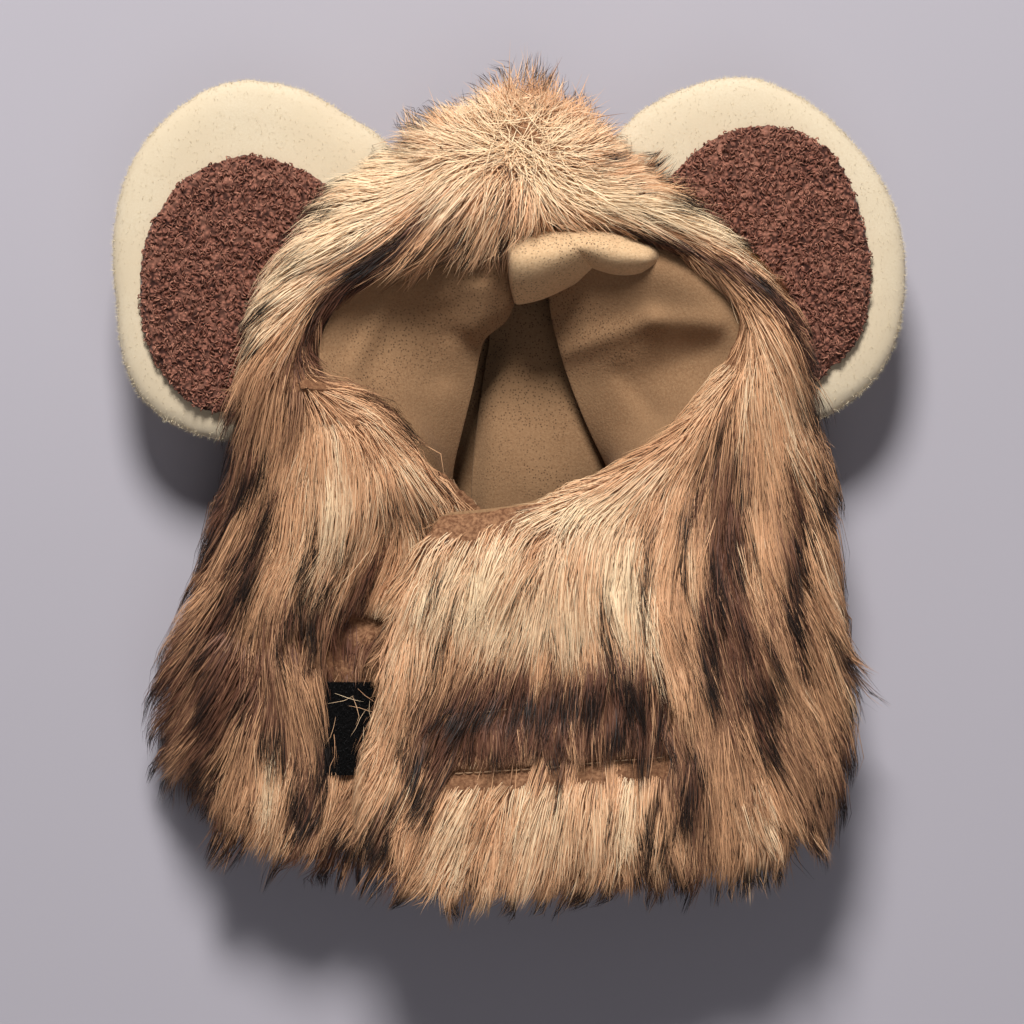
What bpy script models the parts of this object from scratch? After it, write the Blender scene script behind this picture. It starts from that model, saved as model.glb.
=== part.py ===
"""Lion mane hood for a cat or a small dog, fastened at the chin and lying on its back.

Metres, +Z up. The face opening looks up, +Y points to the crown and -Y to the neck edge,
and +X is the side whose flap lies on top.
"""

import math

import bpy
import numpy as np
from mathutils import Vector
from mathutils.bvhtree import BVHTree

# Fur hood
body_width = 0.204  # widest, across the lower sides, without the locks
body_length = 0.239  # neck edge to the top of the crown, without the locks
body_height = 0.062  # underside to the top of the front layer
wall_thickness = 0.0055  # fur backing with its dense undercoat
opening_width = 0.126
opening_length = 0.086
lock_length = 0.016
small_lock = 0.0085  # under this size across, a lock is one straight point
lock_lift = 0.56  # rise of a lock over the coat, as a share of its run along it
floor_clearance = 0.001  # lowest tip of a lock over the surface that the hood lies on

# Chin fastening
flap_reach = 0.046  # how far the right flap passes the midline
strap_overlap = 0.039  # how far the left strap runs on under the flap's edge
hook_length = 0.046
hook_width = 0.028
loop_length = 0.044
loop_width = 0.022
tape_thickness = 0.0016

# Lining
lining_thickness = 0.0012
lining_slack = 0.002  # how far the lining stands off the wall between its seams

# Ears
ear_width = 0.090
ear_length = 0.112
ear_thickness = 0.010
ear_level = 0.029  # middle of the ear's thickness over the underside
ear_tilt = 0.05  # rise of the ear towards its outer edge, per unit of length
patch_thickness = 0.003

seam_gap = 0.0004  # between pieces that are sewn or lie on each other

# Each row is one section across the hood, from the neck edge to the crown. The side columns
# are shares of body_width from the midline and of body_length from the neck edge. The front
# is the ridge of the front layer, at front_share of the way from the rim to the side and
# front_rise of body_length further up. Heights are shares of body_height. steps is the
# number of mesh rows up to the next section.
SECTION_COLUMNS = (
    "name", "steps", "base",
    "left_side_x", "left_side_y", "left_share", "left_rise", "left_height",
    "right_side_x", "right_side_y", "right_share", "right_rise", "right_height",
)
SECTIONS = (
    ("neck", 1, 0.00, -0.45, 0.070, 0.73, -0.03, 0.61, 0.46, 0.066, 0.66, -0.02, 0.74),
    ("hem", 3, 0.00, -0.47, 0.119, 0.65, -0.02, 0.66, 0.48, 0.109, 0.65, -0.01, 0.82),
    ("chin", 2, 0.00, -0.50, 0.232, 0.62, 0.00, 0.71, 0.49, 0.232, 0.63, 0.00, 0.87),
    ("strap", 2, 0.00, -0.48, 0.322, 0.59, 0.00, 0.76, 0.48, 0.332, 0.63, 0.00, 0.90),
    ("throat", 1, 0.00, -0.45, 0.405, 0.59, 0.00, 0.79, 0.47, 0.420, 0.62, 0.00, 0.92),
    ("lip", 2, 0.00, -0.42, 0.483, 0.53, 0.00, 0.83, 0.46, 0.496, 0.61, 0.01, 0.93),
    ("cheek_low", 2, 0.00, -0.41, 0.546, 0.50, 0.02, 0.89, 0.46, 0.558, 0.52, 0.02, 0.95),
    ("cheek", 2, 0.00, -0.40, 0.609, 0.52, 0.01, 0.93, 0.44, 0.615, 0.50, 0.03, 0.97),
    ("jaw", 1, 0.00, -0.39, 0.661, 0.55, 0.01, 0.92, 0.43, 0.665, 0.52, 0.03, 0.97),
    ("temple_low", 1, 0.00, -0.37, 0.706, 0.55, 0.01, 0.92, 0.41, 0.715, 0.58, 0.03, 0.97),
    ("temple", 2, 0.00, -0.35, 0.747, 0.50, 0.02, 0.92, 0.39, 0.753, 0.50, 0.04, 0.97),
    ("brow_low", 2, 0.00, -0.33, 0.782, 0.45, 0.04, 0.92, 0.37, 0.787, 0.48, 0.04, 0.95),
    ("brow", 2, 0.00, -0.30, 0.812, 0.40, 0.04, 0.92, 0.335, 0.816, 0.40, 0.04, 0.93),
    ("forehead", 2, 0.00, -0.27, 0.844, 0.52, 0.04, 0.90, 0.295, 0.844, 0.55, 0.04, 0.91),
    ("crown_low", 1, 0.02, -0.22, 0.885, 0.51, 0.025, 0.855, 0.235, 0.882, 0.53, 0.025, 0.86),
    ("crown", 1, 0.09, -0.16, 0.922, 0.51, 0.01, 0.76, 0.17, 0.922, 0.51, 0.01, 0.77),
    ("crown_top", 0, 0.20, -0.10, 0.961, 0.52, 0.00, 0.645, 0.10, 0.961, 0.50, 0.00, 0.645),
)
CROWN_TIP = (0.0, 1.0, 0.42)

# The two rims of the face opening, as shares of its width and length from its middle.
OPENING_MIDDLE = (0.022, 0.647)
OPENING_COLUMNS = ("name", "left_x", "left_y", "left_z", "right_x", "right_y", "right_z")
OPENING_RIMS = (
    ("lip", -0.065, -0.505, 0.66, 0.19, -0.345, 0.93),
    ("cheek_low", -0.23, -0.295, 0.76, 0.33, -0.22, 0.90),
    ("cheek", -0.335, -0.09, 0.82, 0.42, -0.065, 0.89),
    ("jaw", -0.495, 0.01, 0.81, 0.48, 0.095, 0.89),
    ("temple_low", -0.475, 0.155, 0.81, 0.50, 0.20, 0.89),
    ("temple", -0.43, 0.25, 0.81, 0.45, 0.29, 0.89),
    ("brow_low", -0.30, 0.365, 0.81, 0.35, 0.385, 0.87),
    ("brow", -0.135, 0.45, 0.81, 0.24, 0.46, 0.855),
    ("forehead", 0.07, 0.50, 0.82, 0.07, 0.50, 0.82),
)

# Below the opening the left side ends in a strap and the right side in the flap over it.
# edge_x is a share of flap_reach, strap_x of strap_overlap from there, the rest as above.
CHIN_COLUMNS = (
    "name", "strap_x", "strap_y", "strap_z", "root_x", "root_y", "root_z",
    "middle_x", "middle_y", "middle_z", "edge_x", "edge_y", "edge_z",
)
CHIN = (
    ("neck", 0.76, 0.046, 0.645, 0.19, 0.006, 0.89, 0.01, 0.000, 0.92, -0.71, 0.019, 0.855),
    ("hem", 1.10, 0.107, 0.645, 0.20, 0.100, 0.95, -0.01, 0.092, 0.935, -1.00, 0.104, 0.87),
    ("chin", 1.00, 0.226, 0.66, 0.20, 0.226, 0.97, 0.00, 0.222, 0.92, -0.89, 0.226, 0.87),
    ("strap", 0.93, 0.330, 0.68, 0.195, 0.351, 0.98, 0.01, 0.355, 0.97, -0.83, 0.343, 0.89),
    ("throat", 0.65, 0.420, 0.66, 0.175, 0.445, 0.97, 0.03, 0.438, 0.97, -0.60, 0.423, 0.93),
    ("lip", 0.46, 0.465, 0.66, 0.14, 0.523, 0.93, 0.03, 0.483, 0.94, -0.47, 0.468, 0.93),
)

# Where the crown is closed the two rims meet on one seam.
CROWN_SEAM = (
    ("crown_low", 0.05, 0.872, 0.87),
    ("crown", 0.025, 0.920, 0.775),
    ("crown_top", 0.00, 0.962, 0.66),
)

# Folds of the lining on each side of the opening. drop is 0 where the lining follows the wall
# and 1 where it hangs free, fold is how far it reaches from the rim to the crease, and the
# crease is given as shares of the opening's width from its middle and of body_height.
FOLD_COLUMNS = ("name", "drop", "fold", "left_x", "left_z", "right_x", "right_z")
FOLDS = (
    ("throat", 0.0, 0.0, -0.14, 0.58, 0.17, 0.60),
    ("lip", 1.0, 0.15, -0.14, 0.58, 0.17, 0.60),
    ("cheek_low", 1.0, 1.0, -0.16, 0.50, 0.17, 0.54),
    ("cheek", 1.0, 1.0, -0.12, 0.47, 0.13, 0.50),
    ("jaw", 1.0, 1.0, -0.09, 0.50, 0.10, 0.53),
    ("temple_low", 1.0, 1.0, -0.065, 0.55, 0.07, 0.57),
    ("temple", 1.0, 1.0, -0.06, 0.60, 0.08, 0.62),
    ("brow_low", 1.0, 0.4, -0.06, 0.66, 0.13, 0.66),
    ("brow", 1.0, 0.15, -0.10, 0.70, 0.15, 0.70),
    ("forehead", 1.0, 0.0, -0.10, 0.70, 0.15, 0.70),
)

# The lie of the fur: place as shares of body_width and body_length, direction over the front.
COMB_COLUMNS = ("x", "y", "run_x", "run_y")
COMB = (
    (0.00, 0.99, 0.0, 1.0),
    (-0.12, 0.97, -0.5, 0.9),
    (0.13, 0.97, 0.5, 0.9),
    (-0.21, 0.90, -0.9, 0.3),
    (0.20, 0.90, 0.9, 0.4),
    (-0.02, 0.85, -0.25, -0.9),
    (-0.11, 0.84, -0.6, -0.7),
    (-0.24, 0.80, -0.85, -0.4),
    (-0.36, 0.72, -0.8, -0.6),
    (-0.40, 0.61, -0.6, -0.8),
    (0.13, 0.85, 1.0, -0.05),
    (0.26, 0.84, 1.0, -0.3),
    (0.35, 0.76, 0.8, -0.6),
    (0.42, 0.67, 0.6, -0.8),
    (0.46, 0.55, 0.5, -0.85),
    (-0.31, 0.57, -0.6, -0.8),
    (-0.16, 0.52, -0.8, -0.4),
    (-0.27, 0.43, -0.3, -0.95),
    (-0.43, 0.43, -0.45, -0.85),
    (-0.49, 0.31, -0.8, -0.6),
    (-0.38, 0.23, -0.5, -0.85),
    (-0.50, 0.16, -0.8, -0.55),
    (-0.31, 0.11, -0.3, -0.95),
    (0.33, 0.58, 0.1, -1.0),
    (0.26, 0.56, -0.2, -1.0),
    (0.13, 0.48, -0.1, -1.0),
    (-0.13, 0.28, -0.45, -0.9),
    (0.06, 0.26, -0.15, -1.0),
    (0.25, 0.30, 0.3, -0.95),
    (0.40, 0.36, 0.35, -0.95),
    (0.49, 0.31, 0.6, -0.8),
    (0.42, 0.13, 0.4, -0.9),
    (0.20, 0.07, 0.05, -1.0),
    (-0.16, 0.08, -0.45, -0.9),
)

# Outlines of an ear and of its inner patch, from the lower end of the root round to the upper
# end, then the part that the wall hides: shares of ear_width outwards and of ear_length
# upwards from the ear's middle, for each side.
OUTLINE_COLUMNS = ("left_x", "left_y", "right_x", "right_y")
EAR_OUTLINE = (
    (0.02, -0.50, 0.02, -0.50),
    (0.25, -0.44, 0.21, -0.435),
    (0.375, -0.31, 0.35, -0.335),
    (0.41, -0.12, 0.42, -0.20),
    (0.42, 0.05, 0.435, -0.02),
    (0.385, 0.21, 0.40, 0.13),
    (0.29, 0.345, 0.31, 0.26),
    (0.12, 0.455, 0.16, 0.39),
    (-0.04, 0.49, 0.03, 0.455),
    (-0.23, 0.46, -0.11, 0.49),
    (-0.38, 0.39, -0.34, 0.445),
    (-0.53, 0.30, -0.53, 0.32),
    (-0.55, 0.09, -0.55, 0.09),
    (-0.45, -0.12, -0.45, -0.12),
    (-0.30, -0.31, -0.30, -0.31),
    (-0.13, -0.45, -0.13, -0.45),
)
PATCH_OUTLINE = (
    (0.07, -0.42, 0.10, -0.37),
    (0.204, -0.355, 0.18, -0.315),
    (0.288, -0.25, 0.255, -0.26),
    (0.318, -0.13, 0.30, -0.17),
    (0.318, -0.04, 0.314, -0.06),
    (0.295, 0.06, 0.295, 0.05),
    (0.248, 0.13, 0.262, 0.15),
    (0.181, 0.207, 0.205, 0.25),
    (0.068, 0.255, 0.12, 0.31),
    (-0.05, 0.277, -0.03, 0.347),
    (-0.182, 0.25, -0.20, 0.312),
    (-0.30, 0.20, -0.34, 0.21),
    (-0.41, 0.10, -0.43, 0.10),
    (-0.40, -0.06, -0.40, -0.06),
    (-0.28, -0.24, -0.26, -0.22),
    (-0.12, -0.37, -0.08, -0.33),
)
EARS_COLUMNS = ("side", "middle_x", "middle_y", "scale_x", "scale_y")
EARS = (
    ("left", -0.407, 0.790, 1.00, 1.00),
    ("right", 0.394, 0.797, 1.02, 0.99),
)

# Roundness of an ear's edge and of its patch: share of the outline, share of the thickness.
EAR_RINGS = ((1.0, 0.30), (0.94, 0.78), (0.82, 1.0))
PATCH_RINGS = ((1.0, 0.45), (0.92, 0.9), (0.75, 1.0))

# The wall gets thinner over its last columns up to a rim of the opening.
RIM_THICKNESS = (0.45, 0.6, 0.8)

# Mesh columns over each stretch of a section, rim to underside, and over the flap.
HALF_COLUMNS = (5, 2, 2, 2, 2, 1)
FLAP_COLUMNS = (4, 4)
LINING_COLUMNS = (0, 1, 3, 4, 5, 7, 8, 9, 11, 13, 14, 15, 17, 19, 20, 21, 23, 24, 25, 27, 28)
LINING_FLAP_COLUMNS = (30, 32, 34, 35, 36)
FOLD_CELLS = 7  # lining columns in a free fold, from the rim to where it meets the wall again

FUR = (0.62, 0.42, 0.22)
PLUSH = (0.87, 0.78, 0.55)
BOUCLE = (0.20, 0.08, 0.045)
FLEECE = (0.62, 0.46, 0.28)
HOOK_BLACK = (0.01, 0.01, 0.012)
LOOP_BLACK = (0.02, 0.02, 0.022)


def rows_of(columns, table):
    """The table as dictionaries by the row's name."""
    return {row[0]: dict(zip(columns, row)) for row in table}


def catmull(points, at):
    """A smooth curve through the points, read at fractional places along them."""
    points = np.asarray(points, float)
    last = len(points) - 1
    ends = np.concatenate([[2 * points[0] - points[1]], points, [2 * points[-1] - points[-2]]])
    found = []
    for place in at:
        start = min(int(place), last - 1)
        t = place - start
        p0, p1, p2, p3 = ends[start : start + 4]
        cubic = 3 * (p1 - p2) + p3 - p0
        square = 2 * p0 - 5 * p1 + 4 * p2 - p3
        found.append(p1 + 0.5 * t * (p2 - p0 + t * (square + t * cubic)))
    return np.array(found)


def places(counts):
    """Fractional places with so many steps in each stretch."""
    found = []
    for start, count in enumerate(counts):
        found += [start + step / count for step in range(count)]
    return found + [len(counts)]


def body_point(x, y, height):
    return np.array([x * body_width, y * body_length, height * body_height])


def opening_point(x, y, height):
    centre = body_point(*OPENING_MIDDLE, height)
    return centre + [x * opening_width, y * opening_length, 0.0]


def rim_points(name):
    """Left rim, right rim, and below the opening the flap's middle and edge."""
    opening = rows_of(OPENING_COLUMNS, OPENING_RIMS)
    chin = rows_of(CHIN_COLUMNS, CHIN)
    seam = {row[0]: row[1:] for row in CROWN_SEAM}
    if name in seam:
        return body_point(*seam[name]), body_point(*seam[name]), []
    if name in opening:
        row = opening[name]
        left = opening_point(row["left_x"], row["left_y"], row["left_z"])
        right = opening_point(row["right_x"], row["right_y"], row["right_z"])
    if name in chin:
        row = chin[name]
        edge = body_point(0, row["edge_y"], row["edge_z"])
        edge[0] = row["edge_x"] * flap_reach
        middle = body_point(row["middle_x"], row["middle_y"], row["middle_z"])
        if name not in opening:
            left = body_point(0, row["strap_y"], row["strap_z"])
            left[0] = edge[0] + row["strap_x"] * strap_overlap
            right = body_point(row["root_x"], row["root_y"], row["root_z"])
        return left, right, [middle, edge]
    return left, right, []


def half_section(rim, side_x, side_y, share, rise, height, base):
    """Points from the rim over the front and the side to the underside."""
    side = body_point(side_x, side_y, base + 0.42 * (height - base))
    front = rim + share * (side - rim)
    front[1] += rise * body_length
    front[2] = height * body_height
    shoulder = side + 0.22 * (front - side)
    shoulder[2] = (base + 0.80 * (height - base)) * body_height
    under = side * [0.92, 1.0, 1.0]
    under[2] = (base + 0.06 * (height - base)) * body_height
    back = side * [0.50, 1.0, 1.0]
    back[2] = base * body_height
    return [rim, front, shoulder, side, under, back]


def outer_grid():
    """Rows of outer points: the hood's own columns, then those of the flap."""
    key_rows, key_flaps = [], []
    at = places(HALF_COLUMNS + HALF_COLUMNS[::-1])
    for row in rows_of(SECTION_COLUMNS, SECTIONS).values():
        left_rim, right_rim, flap = rim_points(row["name"])
        left = half_section(
            left_rim, row["left_side_x"], row["left_side_y"], row["left_share"],
            row["left_rise"], row["left_height"], row["base"],
        )
        right = half_section(
            right_rim, row["right_side_x"], row["right_side_y"], row["right_share"],
            row["right_rise"], row["right_height"], row["base"],
        )
        middle = 0.5 * (left[-1] + right[-1])
        line = left + [middle] + right[::-1] + flap
        counts = HALF_COLUMNS + HALF_COLUMNS[::-1]
        if flap:
            counts = counts + FLAP_COLUMNS
        points = catmull(line, places(counts))
        points[:, 2] = np.maximum(points[:, 2], row["base"] * body_height)
        key_rows.append(points[: len(at)])
        if flap:
            key_flaps.append(points[len(at) :])
    steps = [row[1] for row in SECTIONS[:-1]]
    rows = catmull(key_rows, places(steps))
    rows[:, :, 2] = np.maximum(rows[:, :, 2], 0.0)
    flaps = catmull(key_flaps, places(steps[: len(key_flaps) - 1]))
    return rows, flaps


def vertex_normals(points, faces):
    normals = np.zeros_like(points)
    for a, b, c in faces:
        normal = np.cross(points[b] - points[a], points[c] - points[a])
        for corner in (a, b, c):
            normals[corner] += normal
    length = np.linalg.norm(normals, axis=1, keepdims=True)
    return normals / np.maximum(length, 1e-12)


def step_towards(start, end, length):
    """The step of that length from one point towards another."""
    return length * (end - start) / max(np.linalg.norm(end - start), 1e-9)


def surface_tree(points, faces):
    """The surface in a form that rays can be cast at."""
    corners = [tuple(int(corner) for corner in face) for face in faces]
    return BVHTree.FromPolygons([tuple(point) for point in points], corners)


def smoothed(values, cells):
    """Unit vectors at the corners of the cells, each mixed with those next to it."""
    for _ in range(5):
        total, count = values.copy(), np.ones((len(values), 1))
        for cell in cells:
            for a, b in zip(cell, cell[1:] + cell[:1]):
                total[a] += values[b]
                count[a] += 1
                total[b] += values[a]
                count[b] += 1
        values = total / count
        values = values / np.maximum(np.linalg.norm(values, axis=1, keepdims=True), 1e-9)
    return values


def halves(cell):
    """A cell of three or four corners as triangles."""
    if len(cell) == 3:
        return [tuple(cell)]
    a, b, c, d = cell
    return [(a, b, c), (a, c, d)]


def slab(front, back, cells, bulge=0.0, locks=None):
    """Points and faces of the closed body between two layers of points over the same cells.

    locks gives, for some cells, the ring and the tip that grow from that cell."""
    count = len(front)
    points = list(front) + list(back)
    faces, edges = [], {}
    for number, cell in enumerate(cells):
        corners = list(cell)
        for a, b in zip(corners, corners[1:] + corners[:1]):
            edges[(a, b)] = number
        for a, b, c in halves(cell):
            faces.append((c + count, b + count, a + count))
        if locks is None or number not in locks:
            faces += halves(cell)
            continue
        ring, tip = locks[number]
        first = len(points)
        points += list(ring) + [tip]
        apex = first + len(ring)
        for k, corner in enumerate(corners):
            after = (k + 1) % len(corners)
            if not len(ring):
                faces.append((corner, corners[after], apex))
                continue
            faces += halves((corner, corners[after], first + after, first + k))
            faces.append((first + k, first + after, apex))
    rim = {}
    outward = {}
    border = [edge for edge in edges if edge[::-1] not in edges]
    for a, b in border:
        along = np.subtract(front[b], front[a])
        through = np.subtract(front[a], back[a])
        away = np.cross(along, through)
        away = away / max(np.linalg.norm(away), 1e-12)
        for corner in (a, b):
            outward[corner] = outward.get(corner, 0) + away
    if bulge:
        for corner, away in outward.items():
            away = away / np.linalg.norm(away)
            rim[corner] = len(points)
            points.append(0.5 * (np.asarray(front[corner]) + back[corner]) + bulge * away)
    for a, b in border:
        if bulge:
            faces += halves((b, a, rim[a], rim[b]))
            faces += halves((rim[b], rim[a], a + count, b + count))
        else:
            faces += halves((b, a, a + count, b + count))
    return np.array(points), faces


def material(name, colour, roughness):
    made = bpy.data.materials.new(name)
    made.use_nodes = True
    shader = made.node_tree.nodes["Principled BSDF"]
    shader.inputs["Base Color"].default_value = (*colour, 1.0)
    shader.inputs["Roughness"].default_value = roughness
    shader.inputs["Metallic"].default_value = 0.0
    return made


def add_object(name, points, faces, look=None):
    """A mesh object holding only the points that the faces use."""
    used = sorted({corner for face in faces for corner in face})
    number = {old: new for new, old in enumerate(used)}
    mesh = bpy.data.meshes.new(name)
    mesh.from_pydata(
        [tuple(points[old]) for old in used], [], [tuple(number[c] for c in face) for face in faces]
    )
    mesh.shade_smooth()
    made = bpy.data.objects.new(name, mesh)
    if look is not None:
        mesh.materials.append(look)
    bpy.context.scene.collection.objects.link(made)
    return made


def comb_direction(point):
    """Lie of the fur over the front at this point, from the nearest rows of the table."""
    total = np.zeros(2)
    for row in COMB:
        away = math.hypot(point[0] - row[0] * body_width, point[1] - row[1] * body_length)
        run = np.array([row[2], row[3]]) / math.hypot(row[2], row[3])
        total += run / (away + 0.004) ** 3
    return total / np.linalg.norm(total)


def scatter(a, b):
    """A fixed number from 0 to 1 that looks random."""
    value = math.sin(a * 12.9898 + b * 78.233) * 43758.5453
    return value - math.floor(value)


def lock_shape(middle, corners, direction, length):
    """Ring of points round a lock at its bend, none on a small one, and its tip."""
    tip = middle + length * (direction + [0, 0, -0.08])
    size = np.linalg.norm(corners[0] - corners[2])
    if size < small_lock:
        return np.zeros((0, 3)), tip
    return middle + 0.68 * (corners - middle) + 0.42 * length * direction, tip


def clear_locks(locks):
    """Rings and tips of the locks, with those that cross each other made shorter."""
    lengths = {k: lock[3] for k, lock in locks.items()}
    for attempt in range(8):
        shapes = {k: lock_shape(*locks[k][:3], lengths[k]) for k in locks}
        points, faces, owner = [], [], []
        for k, (ring, tip) in shapes.items():
            corners = locks[k][1]
            first, sides = len(points), len(corners)
            points += [*corners, *ring, tip]
            for n in range(sides):
                after = (n + 1) % sides
                if len(ring):
                    bend = first + sides
                    faces += halves((first + n, first + after, bend + after, bend + n))
                    faces.append((bend + n, bend + after, bend + sides))
                    owner += [k, k, k]
                else:
                    faces.append((first + n, first + after, first + sides))
                    owner.append(k)
        tree = surface_tree(points, faces)
        crossing = set()
        for a, b in tree.overlap(tree):
            first, second = owner[a], owner[b]
            pairs = [(points[m], points[n]) for m in faces[a] for n in faces[b]]
            near = min(np.linalg.norm(np.subtract(m, n)) for m, n in pairs)
            if first != second and near > 1e-7:
                crossing.add(first if lengths[first] > lengths[second] else second)
        if not crossing:
            break
        for k in crossing:
            lengths[k] *= 0.8
    return shapes


def ear_outline(row, table):
    """One side's outline from the table in the plane of the front, counterclockwise from above."""
    side = row["side"]
    outward = -1 if side == "left" else 1
    centre = body_point(row["middle_x"], row["middle_y"], 0)
    points = []
    for shares in (dict(zip(OUTLINE_COLUMNS, line)) for line in table):
        x = shares[side + "_x"] * ear_width * row["scale_x"]
        y = shares[side + "_y"] * ear_length * row["scale_y"]
        points.append([centre[0] + outward * x, centre[1] + y])
    if outward < 0:
        points = points[::-1]
    return np.array(points)


def ear_height(x):
    """Middle of the ear's thickness at this distance from the midline."""
    return ear_level + ear_tilt * (abs(x) - 0.5 * body_width)


def inside(outline, x, y):
    found = False
    for (ax, ay), (bx, by) in zip(outline, np.roll(outline, -1, axis=0)):
        if (ay > y) != (by > y) and x < ax + (y - ay) * (bx - ax) / (by - ay):
            found = not found
    return found


def near_ear(point, outlines, margin):
    """True if the point lies in an ear or within the margin of it."""
    if abs(point[2] - ear_height(point[0])) > 0.5 * ear_thickness + patch_thickness + margin:
        return False
    for outline in outlines:
        centre = outline.mean(axis=0)
        reach = np.linalg.norm(outline - centre, axis=1).mean()
        grown = centre + (outline - centre) * (1 + margin / reach)
        if inside(grown, point[0], point[1]):
            return True
    return False


def disc(outline, rings, height):
    """Rings of an outline shrunk to its middle, each at height(x, y, fullness)."""
    centre = outline.mean(axis=0)
    points = []
    for shrink, fullness in rings:
        for corner in outline:
            x, y = centre + (corner - centre) * shrink
            points.append((x, y, height(x, y, fullness)))
    points.append((*centre, height(*centre, 1.0)))
    count = len(outline)
    faces = []
    for ring in range(len(rings) - 1):
        for k in range(count):
            after = (k + 1) % count
            a, b = ring * count + k, ring * count + after
            faces += halves((a, b, b + count, a + count))
    last = (len(rings) - 1) * count
    for k in range(count):
        faces.append((last + k, last + (k + 1) % count, len(points) - 1))
    return points, faces


def smooth_outline(outline, steps):
    """The outline read at more places, closed."""
    wrapped = np.concatenate([outline[-1:], outline, outline[:2]])
    at = [1 + k / steps for k in range(len(outline) * steps)]
    return catmull(wrapped, at)


def cushion(outline, rings, upper, lower):
    """A closed pad between an upper and a lower surface over the outline."""
    top, faces = disc(outline, rings, upper)
    bottom, _ = disc(outline, rings, lower)
    count = len(top)
    closed = list(faces) + [(c + count, b + count, a + count) for a, b, c in faces]
    for k in range(len(outline)):
        after = (k + 1) % len(outline)
        closed += halves((after, k, k + count, after + count))
    return top + bottom, closed


def draped_tape(length, width, middle, turn, hit, thickness, upwards):
    """A flat tape laid on the surface that hit finds under, or over, each of its points."""
    count_x, count_y = 6, 3
    along = np.array([math.cos(turn), math.sin(turn)])
    across = np.array([-along[1], along[0]])
    near, far = [], []
    for j in range(count_y + 1):
        for i in range(count_x + 1):
            spot = middle + along * length * (i / count_x - 0.5)
            spot = spot + across * width * (j / count_y - 0.5)
            level = hit(spot[0], spot[1])
            side = -1 if upwards else 1
            near.append((spot[0], spot[1], level + side * seam_gap))
            far.append((spot[0], spot[1], level + side * (seam_gap + thickness)))
    cells = []
    for j in range(count_y):
        for i in range(count_x):
            a = j * (count_x + 1) + i
            cells.append((a, a + 1, a + count_x + 2, a + count_x + 1))
    top, bottom = (near, far) if upwards else (far, near)
    return slab(np.array(top), np.array(bottom), cells)


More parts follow.
